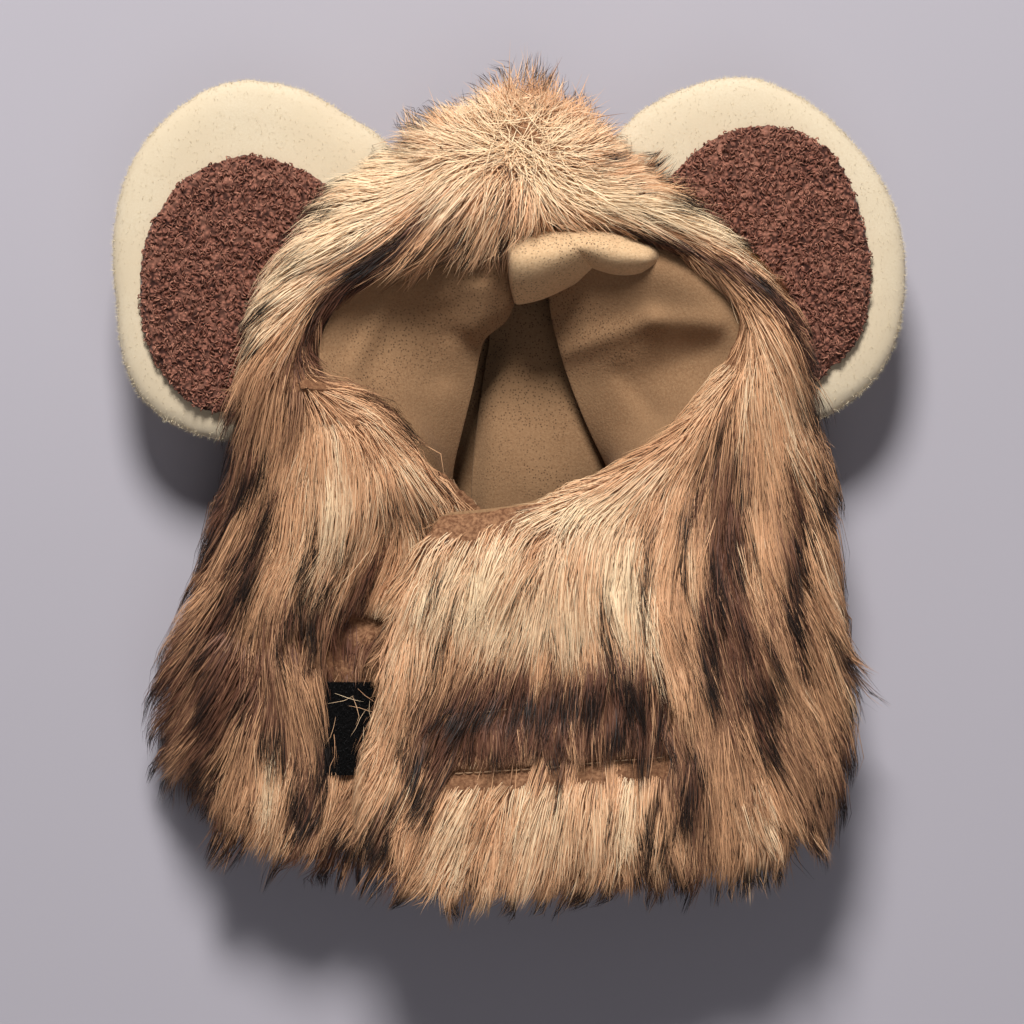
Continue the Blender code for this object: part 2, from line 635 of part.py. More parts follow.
def build():
    for old in list(bpy.data.objects):
        bpy.data.objects.remove(old)

    # Cells of the hood on its own columns and on the flap's
    rows, flaps = outer_grid()
    row_count, column_count = len(rows), len(rows[0])
    names = [row[0] for row in SECTIONS]
    steps = [row[1] for row in SECTIONS]
    row_of = {name: sum(steps[:k]) for k, name in enumerate(names)}
    seam_row = row_of["forehead"]
    flap_rows, flap_columns = len(flaps), len(flaps[0])
    points = [point for row in rows for point in row] + [point for row in flaps for point in row]
    number = np.arange(row_count * column_count).reshape(row_count, column_count)
    for i in range(seam_row, row_count):
        number[i, -1] = number[i, 0]
        points[number[i, 0]] = 0.5 * (rows[i][0] + rows[i][-1])
    flap_number = number.size + np.arange(flap_rows * flap_columns).reshape(flap_rows, -1)
    wide = [list(row) for row in number]
    for i in range(flap_rows):
        wide[i] += list(flap_number[i])
    tip_number = len(points)
    points.append(body_point(*CROWN_TIP))
    points = np.array(points)

    lobe_rows = row_of["hem"]
    lobe_columns = 2
    cells, cell_place = [], []
    for i in range(row_count - 1):
        last = min(len(wide[i]), len(wide[i + 1])) - 1
        for j in range(last):
            if i < lobe_rows and j < lobe_columns:
                continue
            cells.append((wide[i][j], wide[i + 1][j], wide[i + 1][j + 1], wide[i][j + 1]))
            cell_place.append((i, j))
    for j in range(column_count - 1):
        cells.append((wide[-1][j], tip_number, wide[-1][j + 1]))
        cell_place.append((row_count - 1, j))
    triangles = [half for cell in cells for half in halves(cell)]
    normals = vertex_normals(points, triangles)
    thickness = np.full((len(points), 1), wall_thickness)
    for row in wide[:seam_row]:
        for j, share in enumerate(RIM_THICKNESS):
            thickness[row[j]] = share * wall_thickness
            if len(row) == column_count:
                thickness[row[column_count - 1 - j]] = share * wall_thickness
    through = smoothed(normals, cells)
    inner = points - thickness * through
    outer_tree = surface_tree(points, triangles)

    # Where the flap's edge runs, and the two tapes under it
    edge_line = np.array([row[-1] for row in flaps])
    order = np.argsort(edge_line[:, 1])

    def flap_edge_x(y):
        return np.interp(y, edge_line[order, 1], edge_line[order, 0])

    def under_flap(spot):
        return spot[0] > flap_edge_x(spot[1]) - 0.006 and spot[1] < edge_line[:, 1].max() + 0.006

    chin = rows_of(CHIN_COLUMNS, CHIN)
    tape_y = 0.5 * (chin["chin"]["strap_y"] + chin["hem"]["strap_y"]) * body_length + 0.25 * hook_width
    edge_at_tape = flap_edge_x(tape_y)
    hook_middle = np.array([edge_at_tape - 0.013 + 0.5 * hook_length, tape_y])
    loop_middle = np.array([edge_at_tape + 0.019 + 0.5 * loop_length, tape_y])
    ears = list(rows_of(EARS_COLUMNS, EARS).values())
    outlines = [ear_outline(row, EAR_OUTLINE) for row in ears]

    # Locks of fur, each grown from one cell of the outer layer
    locks = {}
    for k, (cell, (i, j)) in enumerate(zip(cells, cell_place)):
        corners = points[list(cell)]
        middle = corners.mean(axis=0)
        normal = normals[list(cell)].mean(axis=0)
        normal /= np.linalg.norm(normal)
        if normal[2] < 0.2:
            continue
        on_hook = abs(middle[0] - hook_middle[0]) < 0.5 * hook_length + 0.010
        on_hook = on_hook and abs(middle[1] - hook_middle[1]) < 0.5 * hook_width + 0.010
        if on_hook and j < column_count // 2:
            continue
        x, y = comb_direction(middle)
        turn = 0.2 * (scatter(i, j) - 0.5)
        cos, sin = math.cos(turn), math.sin(turn)
        run = np.array([x * cos - y * sin, x * sin + y * cos, -0.15])
        along = run - normal * run.dot(normal)
        along /= max(np.linalg.norm(along), 1e-9)
        direction = along + lock_lift * normal
        direction /= np.linalg.norm(direction)
        length = lock_length * (0.75 + 0.5 * scatter(j, i + 7))
        ring, tip = lock_shape(middle, corners, direction, length)
        spots = [*corners, *ring, tip, 0.5 * (middle + tip)]
        if j < column_count // 2 and any(under_flap(spot) for spot in spots):
            continue
        if min(spot[2] for spot in spots) < floor_clearance:
            continue
        if any(near_ear(spot, outlines, 0.004) for spot in spots):
            continue
        locks[k] = (middle, corners, direction, length)
    locks = clear_locks(locks)
    hood_points, hood_faces = slab(points, inner, cells, bulge=0.2 * wall_thickness, locks=locks)
    fur = material("mane_fur", FUR, 0.9)
    made = [add_object("fur_hood", hood_points, hood_faces, fur)]

    # Lining: along the wall where it is hidden, in free folds where the face goes in
    folds = rows_of(FOLD_COLUMNS, FOLDS)
    fold_rows = [row_of[name] for name in folds]
    open_rows = list(range(row_of["lip"], seam_row))
    hidden_rows = [row_of["neck"], row_of["hem"]] + list(range(row_of["chin"], row_of["lip"]))
    closed_rows = [row_of[name] for name in ("forehead", "crown_low", "crown")]
    lining_rows, flap_lining = [], []
    for i in hidden_rows + open_rows + closed_rows:
        fold = {
            column: np.interp(i, fold_rows, [folds[name][column] for name in folds])
            for column in FOLD_COLUMNS[1:]
        }
        drop = fold["drop"] if row_of["throat"] < i < seam_row else 0.0
        corners = [wide[i][j] for j in LINING_COLUMNS]
        wall = inner[corners] - 2 * seam_gap * through[corners]
        for end in (0, -1):
            low_rim = 1.5 * lining_thickness * min(1.0, 2.0 * drop)
            wall[end] -= low_rim * through[wide[i][LINING_COLUMNS[end]]]
        middle = wall.mean(axis=0)
        inwards = middle - wall[1:-1]
        wall[1:-1] += lining_slack * inwards / np.linalg.norm(inwards, axis=1, keepdims=True)
        for side, order in (("left", 1), ("right", -1)):
            line = wall[::order]
            rim, low = line[0].copy(), line[FOLD_CELLS].copy()
            x = OPENING_MIDDLE[0] * body_width + fold[side + "_x"] * opening_width
            crease = np.array([x, 0.5 * (rim[1] + low[1]), fold[side + "_z"] * body_height])
            crease = rim + fold["fold"] * (crease - rim)
            back = np.linalg.norm(low - crease)
            for k in range(1, FOLD_CELLS):
                if k <= 3:
                    spot = rim + (0.4, 0.8, 1.0)[k - 1] * (crease - rim)
                else:
                    share = (k - 3) / 4
                    spot = crease + share * (low - crease)
                    spot[2] -= 0.05 * back * math.sin(math.pi * share)
                line[k] = (1 - drop) * line[k] + drop * spot
        lining_rows.append(wall)
        if i <= row_of["lip"]:
            corners = [wide[i][j] for j in LINING_FLAP_COLUMNS]
            flap_lining.append(inner[corners] - 2 * seam_gap * through[corners])
    across = len(LINING_COLUMNS)
    seam_from = len(hidden_rows) + len(open_rows)
    sheet = [point for row in lining_rows for point in row]
    sheet_number = np.arange(len(sheet)).reshape(len(lining_rows), across)
    for i in range(seam_from, len(lining_rows)):
        sheet_number[i, -1] = sheet_number[i, 0]
    sheet_wide = [list(row) for row in sheet_number]
    for i, row in enumerate(flap_lining):
        sheet_wide[i] += range(len(sheet), len(sheet) + len(row))
        sheet += list(row)
    sheet.append(inner[wide[-1][:-1]].mean(axis=0))
    sheet = np.array(sheet)
    first_open = len(hidden_rows)
    lining_cells, fold_cells = [], {"left": [], "right": []}
    for i in range(len(lining_rows) - 1):
        last = min(len(sheet_wide[i]), len(sheet_wide[i + 1])) - 1
        for j in range(last):
            if i == 0 and LINING_COLUMNS[min(j, across - 1)] < lobe_columns:
                continue
            row, above = sheet_wide[i], sheet_wide[i + 1]
            cell = (row[j], above[j], above[j + 1], row[j + 1])
            if first_open <= i < seam_from and j < FOLD_CELLS:
                fold_cells["left"].append(cell)
            elif first_open <= i < seam_from and across - 1 - FOLD_CELLS <= j < across - 1:
                fold_cells["right"].append(cell)
            else:
                lining_cells.append(cell)
    for j in range(across - 1):
        lining_cells.append((sheet_wide[-1][j], len(sheet) - 1, sheet_wide[-1][j + 1]))
    every_cell = lining_cells + fold_cells["left"] + fold_cells["right"]
    lining_triangles = [half for cell in every_cell for half in halves(cell)]
    lining_normals = smoothed(vertex_normals(sheet, lining_triangles), every_cell)
    fleece = material("fleece_lining", FLEECE, 0.95)
    lining_points, lining_faces = slab(sheet, sheet - lining_thickness * lining_normals, lining_cells)
    made.append(add_object("lining", lining_points, lining_faces, fleece))
    for side, columns in (("left", range(FOLD_CELLS + 1)), ("right", range(-1, -FOLD_CELLS - 2, -1))):
        fold_sheet = sheet.copy()
        columns = list(columns)
        for i in range(first_open, seam_from + 1):
            seam, beside = sheet_number[i, columns[-1]], sheet_number[i, columns[-2]]
            fold_sheet[seam] += step_towards(sheet[seam], sheet[beside], 2 * seam_gap)
        for i, towards in ((first_open, first_open + 1), (seam_from, seam_from - 1)):
            for j in columns:
                end, beside = sheet_number[i, j], sheet_number[towards, j]
                fold_sheet[end] += step_towards(sheet[end], sheet[beside], 2 * seam_gap)
        back = fold_sheet - lining_thickness * lining_normals
        fold_points, fold_faces = slab(fold_sheet, back, fold_cells[side])
        made.append(add_object("lining_fold_" + side, fold_points, fold_faces, fleece))
    lining_tree = surface_tree(lining_points, lining_faces)

    # Hook tape on the strap and loop tape on the flap's lining
    up = Vector((0, 0, 1))

    def strap_top(x, y):
        start = 0.49 * body_height + 0.5 * wall_thickness
        return outer_tree.ray_cast(Vector((x, y, start)), up)[0].z

    def flap_underside(x, y):
        start = chin["chin"]["strap_z"] * body_height + seam_gap + tape_thickness
        return lining_tree.ray_cast(Vector((x, y, start)), up)[0].z

    hook_points, hook_faces = draped_tape(
        hook_length, hook_width, hook_middle, 0.0, strap_top, tape_thickness, False
    )
    hook_black = material("hook_tape_black", HOOK_BLACK, 0.8)
    made.append(add_object("hook_tape", hook_points, hook_faces, hook_black))
    loop_points, loop_faces = draped_tape(
        loop_length, loop_width, loop_middle, 0.0, flap_underside, tape_thickness, True
    )
    loop_black = material("loop_tape_black", LOOP_BLACK, 0.9)
    made.append(add_object("loop_tape", loop_points, loop_faces, loop_black))

    # Ears cut to the hood's outer form, with the opening bridged over
    plush = material("ear_plush", PLUSH, 0.9)
    boucle = material("ear_boucle", BOUCLE, 0.95)
    first = row_of["throat"]
    core_cells = []
    for cell, (i, j) in zip(cells, cell_place):
        if i >= first and j < column_count - 1:
            core_cells.append(cell)
    for i in range(first, seam_row):
        row, above = wide[i], wide[i + 1]
        end = column_count - 1
        corners = [row[end], above[end], above[0], row[0]]
        if above[end] == above[0]:
            corners = [row[end], above[end], row[0]]
        core_cells.append(tuple(corners))
    grown = points + seam_gap * 1.5 * normals
    core_points = list(grown) + [grown[wide[first][:column_count]].mean(axis=0)]
    core_faces = [half for cell in core_cells for half in halves(cell)]
    for j in range(column_count):
        a, b = wide[first][j], wide[first][(j + 1) % column_count]
        core_faces.append((a, b, len(core_points) - 1))
    core = add_object("ear_cutter", core_points, core_faces)
    core.hide_render = True
    core.display_type = "WIRE"

    for row, outline in zip(ears, outlines):
        rounded = smooth_outline(outline, 2)

        def upper(x, y, fullness):
            return ear_height(x) + 0.5 * ear_thickness * fullness

        def lower(x, y, fullness):
            return ear_height(x) - 0.5 * ear_thickness * fullness

        def patch_top(x, y, fullness):
            return ear_height(x) + 0.5 * ear_thickness + seam_gap + patch_thickness * fullness

        def patch_bottom(x, y, fullness):
            return ear_height(x) + 0.5 * ear_thickness + seam_gap

        ear_points, ear_faces = cushion(rounded, EAR_RINGS, upper, lower)
        ear = add_object("ear_" + row["side"], ear_points, ear_faces, plush)
        patch_outline = smooth_outline(ear_outline(row, PATCH_OUTLINE), 2)
        patch_points, patch_faces = cushion(patch_outline, PATCH_RINGS, patch_top, patch_bottom)
        patch = add_object("ear_patch_" + row["side"], patch_points, patch_faces, boucle)
        for piece in (ear, patch):
            cut = piece.modifiers.new("hood_seat", "BOOLEAN")
            cut.operation = "DIFFERENCE"
            cut.object = core
            cut.solver = "EXACT"
            made.append(piece)

    # The middle of the whole stands over the origin
    corners = np.array([corner.co for piece in made for corner in piece.data.vertices])
    shift = 0.5 * (corners.min(axis=0) + corners.max(axis=0))
    for piece in made + [core]:
        for corner in piece.data.vertices:
            corner.co.x -= shift[0]
            corner.co.y -= shift[1]


build()
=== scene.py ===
"""The dressed lion mane hat: long combed pile, plush ears, fleece lining and a black hook tape."""

import math
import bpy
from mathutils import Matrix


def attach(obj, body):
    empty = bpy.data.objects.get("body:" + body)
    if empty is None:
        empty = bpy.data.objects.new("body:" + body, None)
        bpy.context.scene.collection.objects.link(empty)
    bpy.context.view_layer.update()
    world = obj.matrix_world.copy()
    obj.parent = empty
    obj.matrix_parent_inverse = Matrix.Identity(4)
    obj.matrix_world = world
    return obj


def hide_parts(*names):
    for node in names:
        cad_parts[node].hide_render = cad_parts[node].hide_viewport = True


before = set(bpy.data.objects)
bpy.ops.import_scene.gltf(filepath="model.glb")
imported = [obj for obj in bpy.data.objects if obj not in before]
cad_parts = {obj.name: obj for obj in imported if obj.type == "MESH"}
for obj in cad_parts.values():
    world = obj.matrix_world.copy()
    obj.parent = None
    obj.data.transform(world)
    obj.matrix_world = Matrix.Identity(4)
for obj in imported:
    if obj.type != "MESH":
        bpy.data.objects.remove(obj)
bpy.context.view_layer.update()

from types import SimpleNamespace

import bmesh
import bpy
import numpy as np
from mathutils import Vector
from mathutils.bvhtree import BVHTree
from mathutils.kdtree import KDTree

# The photograph's frame: its middle column and row over the part, and metres to a pixel at the fur's height.
PIXEL = 0.0003
ORIGIN_PX = (509.0, 478.3)
FRAME_MIDDLE_PX = (512.0, 512.0)
FRAME_PX = 1024
FUR_HEIGHT = 0.045
CAMERA_REACH = 1.15

MM = 0.001

# Sizes of the pile and of the cloths.
SKIN_CELL = 2.6 * MM
SKIN_INSET = 0.08
GRID_CELL = 3.0 * MM
GRID_MARGIN = 24 * MM
STRANDS = 150000
STRAND_STEPS = 9
UNDERCOAT_SHARE = 0.45
HAIR_WIDTH = 0.21 * MM
HAIR_LENGTH = 27 * MM
HAIR_LIFT = 3.2 * MM
SHORTEST_HAIR = 7 * MM
LOCK_SPACING = 3.8 * MM
TUFT_SPACING = 12 * MM
ROOT_SPOTS = 26000
STREAK_COUNT = 420
STREAK_WIDTH = 1.5 * MM
FLEECE_THICKNESS = 1.3 * MM

# Where the fur runs, by pixel: across, down.
COMB_COLUMNS = ("x", "y", "run_x", "run_y")
COMB = (
    (515, 95, 0.0, -1.0),
    (475, 108, -0.5, -0.85),
    (568, 108, 0.5, -0.85),
    (514, 165, -0.2, 1.0),
    (468, 172, -0.75, 0.65),
    (565, 165, 0.9, 0.3),
    (430, 115, -0.5, -0.9),
    (600, 115, 0.5, -0.9),
    (370, 170, -0.9, -0.3),
    (650, 165, 0.9, -0.4),
    (500, 205, -0.3, 0.95),
    (440, 215, -0.6, 0.7),
    (350, 250, -0.85, 0.4),
    (270, 310, -0.8, 0.6),
    (240, 400, -0.6, 0.8),
    (600, 205, 1.0, 0.05),
    (690, 215, 1.0, 0.3),
    (750, 280, 0.8, 0.6),
    (800, 350, 0.6, 0.8),
    (825, 450, 0.5, 0.85),
    (300, 430, -0.35, 0.93),
    (345, 388, 0.9, 0.35),
    (400, 430, 0.65, 0.75),
    (445, 478, 0.75, 0.6),
    (480, 502, 0.75, 0.65),
    (360, 470, -0.1, 1.0),
    (330, 540, -0.3, 0.95),
    (350, 600, -0.5, 0.85),
    (350, 640, 0.15, 1.0),
    (388, 650, -0.1, 1.0),
    (378, 720, -0.25, 0.97),
    (355, 790, -0.5, 0.85),
    (220, 540, -0.45, 0.85),
    (180, 640, -0.8, 0.6),
    (250, 700, -0.45, 0.88),
    (285, 650, 0.3, 0.95),
    (310, 700, 0.3, 0.95),
    (322, 750, 0.15, 1.0),
    (170, 760, -0.8, 0.55),
    (300, 800, -0.3, 0.95),
    (230, 840, -0.4, 0.9),
    (745, 420, 0.1, 1.0),
    (705, 385, -0.6, 0.75),
    (660, 440, -0.8, 0.6),
    (605, 488, -0.85, 0.45),
    (530, 518, -0.75, 0.65),
    (500, 513, -0.2, 1.0),
    (465, 525, -0.65, 0.75),
    (610, 540, -0.1, 1.0),
    (690, 500, -0.1, 1.0),
    (480, 590, -0.3, 0.95),
    (420, 660, -0.3, 0.95),
    (550, 680, -0.15, 1.0),
    (620, 620, 0.25, 0.97),
    (680, 650, 0.3, 0.95),
    (780, 600, 0.35, 0.95),
    (845, 640, 0.6, 0.8),
    (800, 780, 0.4, 0.9),
    (650, 830, 0.05, 1.0),
    (500, 850, -0.2, 1.0),
    (400, 820, -0.45, 0.9),
)

BASE_TONE = 0.45

# Darker (plus) and paler (minus) bands of the pile, each along a line, by pixel, with its half width. Those
# marked below are painted shade or painted light.
BAND_COLUMNS = ("from_x", "from_y", "to_x", "to_y", "reach", "change")
TONE_AND_SHADE_BANDS = (
    (215, 440, 225, 600, 30, 0.50),
    (190, 640, 300, 650, 24, 0.30),
    (230, 690, 300, 790, 66, 0.40),
    (150, 690, 180, 800, 28, 0.30),
    # painted shade under the flap's left edge, by the strap
    (352, 612, 370, 580, 15, 0.85),
    (335, 648, 382, 642, 18, 0.60),
    (345, 660, 350, 720, 20, 0.60),
    # this and the next: painted shade along the crease at the dome's top edge
    (385, 562, 440, 556, 9, 0.55),
    (440, 556, 540, 538, 9, 0.45),
    # this and the next: painted shade under the dome's lower edge
    (450, 690, 650, 678, 26, 0.30),
    (450, 712, 655, 700, 15, 0.75),
    (455, 742, 655, 732, 20, 0.75),
    (420, 700, 440, 800, 12, 0.55),
    (722, 470, 735, 660, 28, 0.42),
    (690, 640, 720, 740, 26, 0.30),
    (790, 430, 800, 640, 24, 0.30),
    (770, 690, 810, 840, 52, 0.24),
    (680, 760, 700, 850, 24, 0.34),
    (560, 896, 700, 890, 14, 0.60),
    (240, 862, 330, 888, 18, 0.40),
    (405, 240, 314, 330, 10, 0.75),
    (314, 330, 300, 396, 10, 0.80),
    (300, 430, 255, 520, 28, 0.18),
    (640, 247, 700, 262, 8, 0.75),
    (700, 262, 778, 308, 9, 0.75),
    (785, 300, 822, 390, 13, 0.55),
    (420, 60, 620, 84, 24, 0.30),
    (450, 130, 580, 150, 52, -0.34),
    (440, 200, 470, 215, 26, -0.20),
    (370, 180, 270, 290, 46, -0.46),
    (320, 420, 360, 540, 34, -0.22),
    (395, 466, 440, 500, 20, -0.32),
    (520, 175, 620, 215, 26, -0.10),
    # painted light: paler fur against the crown's shade at the top right of the opening
    (690, 225, 770, 245, 30, -0.48),
    (500, 110, 540, 160, 34, -0.30),
    (540, 190, 620, 212, 20, -0.20),
    (700, 320, 790, 410, 34, -0.26),
    (520, 525, 660, 495, 26, -0.44),
    (430, 590, 560, 630, 44, -0.44),
    (600, 560, 650, 640, 22, -0.34),
    (395, 640, 372, 740, 13, -0.30),
    (440, 815, 600, 835, 34, -0.20),
    (264, 787, 273, 848, 14, -0.60),
)

# Single streaks, dark with black tips (plus) or pale (minus), laid out in the same way.
STREAK_BANDS = (
    (630, 212, 745, 232, 16, -0.9),
    (264, 470, 221, 530, 6, 0.8),
    (270, 515, 240, 610, 6, 0.8),
    (218, 450, 196, 556, 8, 0.9),
    (316, 545, 303, 620, 5, 0.5),
    (227, 612, 203, 660, 6, 0.8),
    (172, 560, 192, 590, 8, 0.8),
    # this and the next: black-tipped hairs along the crease over the tape, darkened also as painted shade in
    # the crease
    (380, 628, 319, 619, 5, 0.9),
    (319, 619, 279, 658, 5, 0.9),
    (148, 690, 126, 742, 6, 0.9),
    (154, 745, 134, 792, 6, 0.9),
    (206, 695, 196, 790, 6, 0.7),
    (239, 701, 291, 772, 6, 0.7),
    (331, 735, 316, 790, 5, 0.7),
    (297, 795, 303, 830, 6, 0.8),
    (196, 815, 210, 862, 7, 0.9),
    (227, 840, 239, 872, 6, 0.8),
    (371, 825, 392, 900, 7, 0.8),
    (334, 845, 392, 898, 7, 0.8),
    (804, 525, 791, 630, 7, 0.9),
    (718, 550, 700, 690, 7, 0.7),
    (771, 655, 761, 756, 6, 0.7),
    (695, 762, 675, 836, 6, 0.7),
    (625, 703, 615, 758, 5, 0.8),
    (663, 690, 663, 752, 4, 0.9),
    (446, 716, 660, 692, 7, 0.9),
    (460, 735, 460, 795, 7, 0.8),
    (416, 758, 430, 816, 6, 0.8),
    (463, 772, 665, 760, 4, 0.8),
    (556, 762, 559, 800, 5, 0.9),
    (596, 762, 589, 792, 5, 0.8),
    (500, 768, 506, 798, 5, 0.8),
    (821, 505, 887, 578, 9, 0.9),
    (854, 600, 863, 646, 7, 0.9),
    (844, 655, 886, 726, 8, 0.8),
    (851, 750, 848, 836, 8, 0.9),
    (655, 795, 639, 870, 6, 0.6),
    (398, 246, 322, 312, 8, 0.9),
    (322, 312, 298, 400, 8, 0.9),
    (300, 380, 305, 400, 7, 0.8),
    (373, 380, 449, 481, 6, 0.8),
    (449, 481, 510, 512, 6, 0.9),
    (385, 518, 440, 524, 5, 0.8),
    (458, 245, 461, 291, 6, 0.7),
    (512, 165, 506, 240, 6, 0.8),
    (640, 244, 705, 262, 7, 0.8),
    (760, 290, 790, 330, 8, 0.7),
    (815, 380, 828, 470, 8, 0.8),
    (300, 565, 294, 606, 7, -0.7),
    (340, 521, 322, 570, 9, -0.5),
    (233, 536, 215, 566, 7, -0.6),
    (190, 600, 200, 622, 7, -0.6),
    (355, 781, 395, 827, 10, -0.4),
    (748, 525, 751, 605, 8, -0.7),
    (811, 555, 844, 604, 8, -0.7),
    (834, 680, 861, 715, 7, -0.6),
    (622, 580, 657, 660, 7, -0.8),
    (606, 590, 628, 655, 5, -0.7),
    (453, 795, 456, 870, 9, -0.6),
    (612, 772, 625, 836, 8, -0.6),
    (520, 800, 530, 870, 8, -0.4),
)

# Longer (plus) and shorter (minus) pile, in millimetres.
LENGTH_BANDS = (
    (440, 110, 600, 110, 45, -3),
    (450, 700, 650, 740, 40, -9),
    (330, 640, 380, 655, 22, -13),
    (400, 580, 560, 630, 48, -8),
    (510, 225, 650, 232, 14, -13),
    (690, 225, 760, 245, 25, -7),
    (500, 520, 640, 490, 14, -9),
    (390, 600, 370, 780, 16, -11),
    (330, 385, 440, 465, 14, -7),
    (400, 890, 820, 850, 30, -6),
    (180, 500, 150, 800, 24, 5),
    (850, 450, 860, 800, 24, 4),
)

# Sunken lines in the fur's outer form: the crease, the stitched rectangle, the throat; depth in millimetres.
GROOVE_BANDS = (
    (160, 590, 345, 652, 12, 4.0),
    (300, 650, 378, 616, 10, 4.0),
    (385, 566, 440, 558, 8, 2.6),
    (440, 558, 540, 540, 8, 2.2),
    (438, 700, 660, 692, 9, 2.4),
    (440, 768, 540, 763, 6, 2.6),
    (540, 763, 663, 755, 6, 2.6),
    (662, 692, 661, 757, 6, 2.0),
    (430, 700, 436, 790, 9, 2.6),
)

# Where the crown's fur parts, by pixel, and how far that reaches.
WHORL_PX = (520, 130)
WHORL_REACH = 44

# The face opening's edge, by pixel, clockwise from the top left.
OPENING_EDGE = (
    (514, 262), (516, 233), (610, 232), (655, 248), (690, 268), (725, 298), (737, 322), (728, 350), (712, 372),
    (700, 392), (675, 422), (660, 441), (606, 466), (565, 491), (530, 508), (500, 508), (465, 490),
    (440, 466), (418, 441), (402, 421), (380, 391), (330, 380), (318, 366), (322, 343), (330, 318),
    (345, 300), (390, 276), (440, 262), (480, 268),
)
# The bare part of the hook tape.
TAPE_EDGE = ((330, 668), (376, 664), (378, 700), (366, 738), (348, 768), (334, 764), (328, 720))

# Seams that most of the hairs above stop at: the crease over the tape, and the lower row of stitches.
CREASE_EDGE = ((276, 655), (316, 612), (384, 620), (384, 630), (320, 627), (284, 666))
STITCH_EDGE = (
    (452, 766), (540, 760), (610, 754), (668, 751), (668, 758), (610, 762), (540, 768), (452, 774),
)

# The tips of the fur all round, by pixel, clockwise from the top left.
TIP_EDGE = (
    (390, 126), (430, 92), (470, 70), (520, 54), (560, 60), (605, 92), (670, 185), (745, 225), (790, 260),
    (815, 330), (832, 400), (856, 460), (856, 560), (874, 650), (884, 710), (866, 780), (848, 850), (750, 892),
    (600, 908), (520, 918), (425, 930), (388, 895), (360, 876), (280, 884), (212, 852), (145, 784), (134, 700),
    (160, 620), (184, 560), (200, 480), (210, 430), (230, 340), (252, 270), (300, 205), (360, 150),
)
# How far locks pass that edge or stop short of it, as a share of the way from the middle: least, most often
# and most, and how much further in the plain locks are held.
TIP_SPREAD = (-0.14, -0.03, 0.04)
HELD_IN = 0.015

# The dark spikes near that edge: how wide the belt is that they grow in, their share of its locks, their reach.
SPIKE_BELT = 0.17
SPIKE_SHARE = 0.28
SPIKE_REACH = 0.055

# Soft ridges (plus) and valleys (minus) of the lining folds, in millimetres.
LINING_BANDS = (
    (394, 292, 356, 362, 12, 2.0),
    (430, 318, 440, 372, 18, -2.0),
    (478, 292, 480, 326, 15, 3.4),
    (446, 312, 448, 330, 12, -1.2),
    (712, 327, 652, 322, 13, 2.4),
    (652, 322, 564, 351, 12, 1.8),
    (650, 376, 704, 352, 24, -2.6),
    (622, 374, 654, 412, 12, -1.2),
    (690, 398, 640, 444, 15, 1.4),
)

# Lining folds, by pixel and millimetres of height: points from the fur's edge inwards to the free edge.
LEFT_FOLD = (
    ((514, 234, 50), (516, 250, 49), (517, 268, 46), (517, 285, 42), (517, 298, 36)),
    ((458, 244, 52), (475, 262, 50), (492, 284, 47), (503, 305, 42), (506, 320, 35)),
    ((398, 260, 52), (422, 280, 47), (446, 302, 44), (470, 322, 40), (486, 337, 34)),
    ((346, 297, 52), (378, 308, 44), (412, 322, 41), (448, 338, 37), (480, 352, 31)),
    ((322, 344, 52), (360, 350, 44), (398, 360, 40), (438, 372, 35), (473, 385, 28)),
    ((334, 384, 55), (370, 388, 46), (402, 398, 41), (434, 411, 34), (463, 425, 26)),
    ((396, 428, 46), (412, 432, 42), (428, 439, 37), (441, 449, 31), (454, 462, 24)),
    ((428, 478, 38), (434, 479, 35), (440, 481, 31), (446, 484, 27), (451, 488, 22)),
)
RIGHT_FOLD = (
    ((606, 238, 52), (592, 250, 51), (577, 262, 48), (562, 274, 43), (548, 286, 36)),
    ((684, 258, 54), (660, 268, 55), (630, 280, 51), (590, 297, 43), (551, 314, 33)),
    ((738, 306, 55), (702, 312, 54), (655, 322, 48), (606, 336, 40), (560, 350, 30)),
    ((744, 358, 56), (706, 360, 49), (662, 365, 42), (616, 375, 35), (572, 386, 27)),
    ((716, 414, 56), (684, 412, 47), (652, 413, 40), (620, 418, 33), (588, 425, 25)),
    ((662, 454, 55), (648, 452, 47), (633, 452, 40), (618, 454, 32), (604, 458, 23)),
    ((622, 474, 52), (620, 472, 46), (617, 471, 39), (614, 471, 31), (611, 472, 22)),
)
TONGUE = (
    ((482, 250, 13), (510, 250, 15), (545, 250, 15), (580, 250, 14), (640, 250, 12)),
    ((488, 325, 13), (512, 325, 16), (545, 325, 17), (580, 325, 15), (660, 325, 12)),
    ((484, 360, 14), (506, 360, 18), (545, 360, 18), (590, 360, 16), (670, 360, 12)),
    ((478, 400, 14), (500, 400, 19), (545, 400, 20), (600, 400, 17), (670, 400, 12)),
    ((473, 440, 14), (496, 440, 20), (540, 440, 21), (600, 440, 18), (660, 440, 12)),
    ((470, 480, 14), (494, 480, 20), (538, 480, 21), (590, 480, 18), (640, 480, 12)),
    ((469, 530, 13), (492, 530, 18), (535, 530, 19), (580, 530, 16), (620, 530, 12)),
)
HEM_ROLL = (
    ((507, 236, 40), (506, 246, 45), (507, 263, 48), (509, 283, 44), (513, 297, 38), (515, 295, 33)),
    ((511, 230, 46), (510, 240, 53), (511, 262, 57), (513, 286, 52), (517, 303, 42), (519, 300, 35)),
    ((530, 229, 48), (530, 241, 55), (533, 262, 59), (536, 284, 54), (540, 299, 43), (541, 295, 36)),
    ((552, 228, 49), (553, 240, 56), (556, 258, 59), (560, 276, 54), (564, 289, 44), (564, 285, 37)),
    ((576, 228, 50), (578, 238, 56), (580, 252, 58), (584, 266, 53), (587, 277, 44), (587, 273, 38)),
    ((604, 229, 50), (606, 237, 56), (608, 247, 57), (609, 257, 53), (610, 266, 46), (610, 263, 40)),
    ((634, 233, 50), (636, 239, 54), (637, 246, 55), (637, 254, 52), (637, 261, 46), (636, 258, 42)),
)
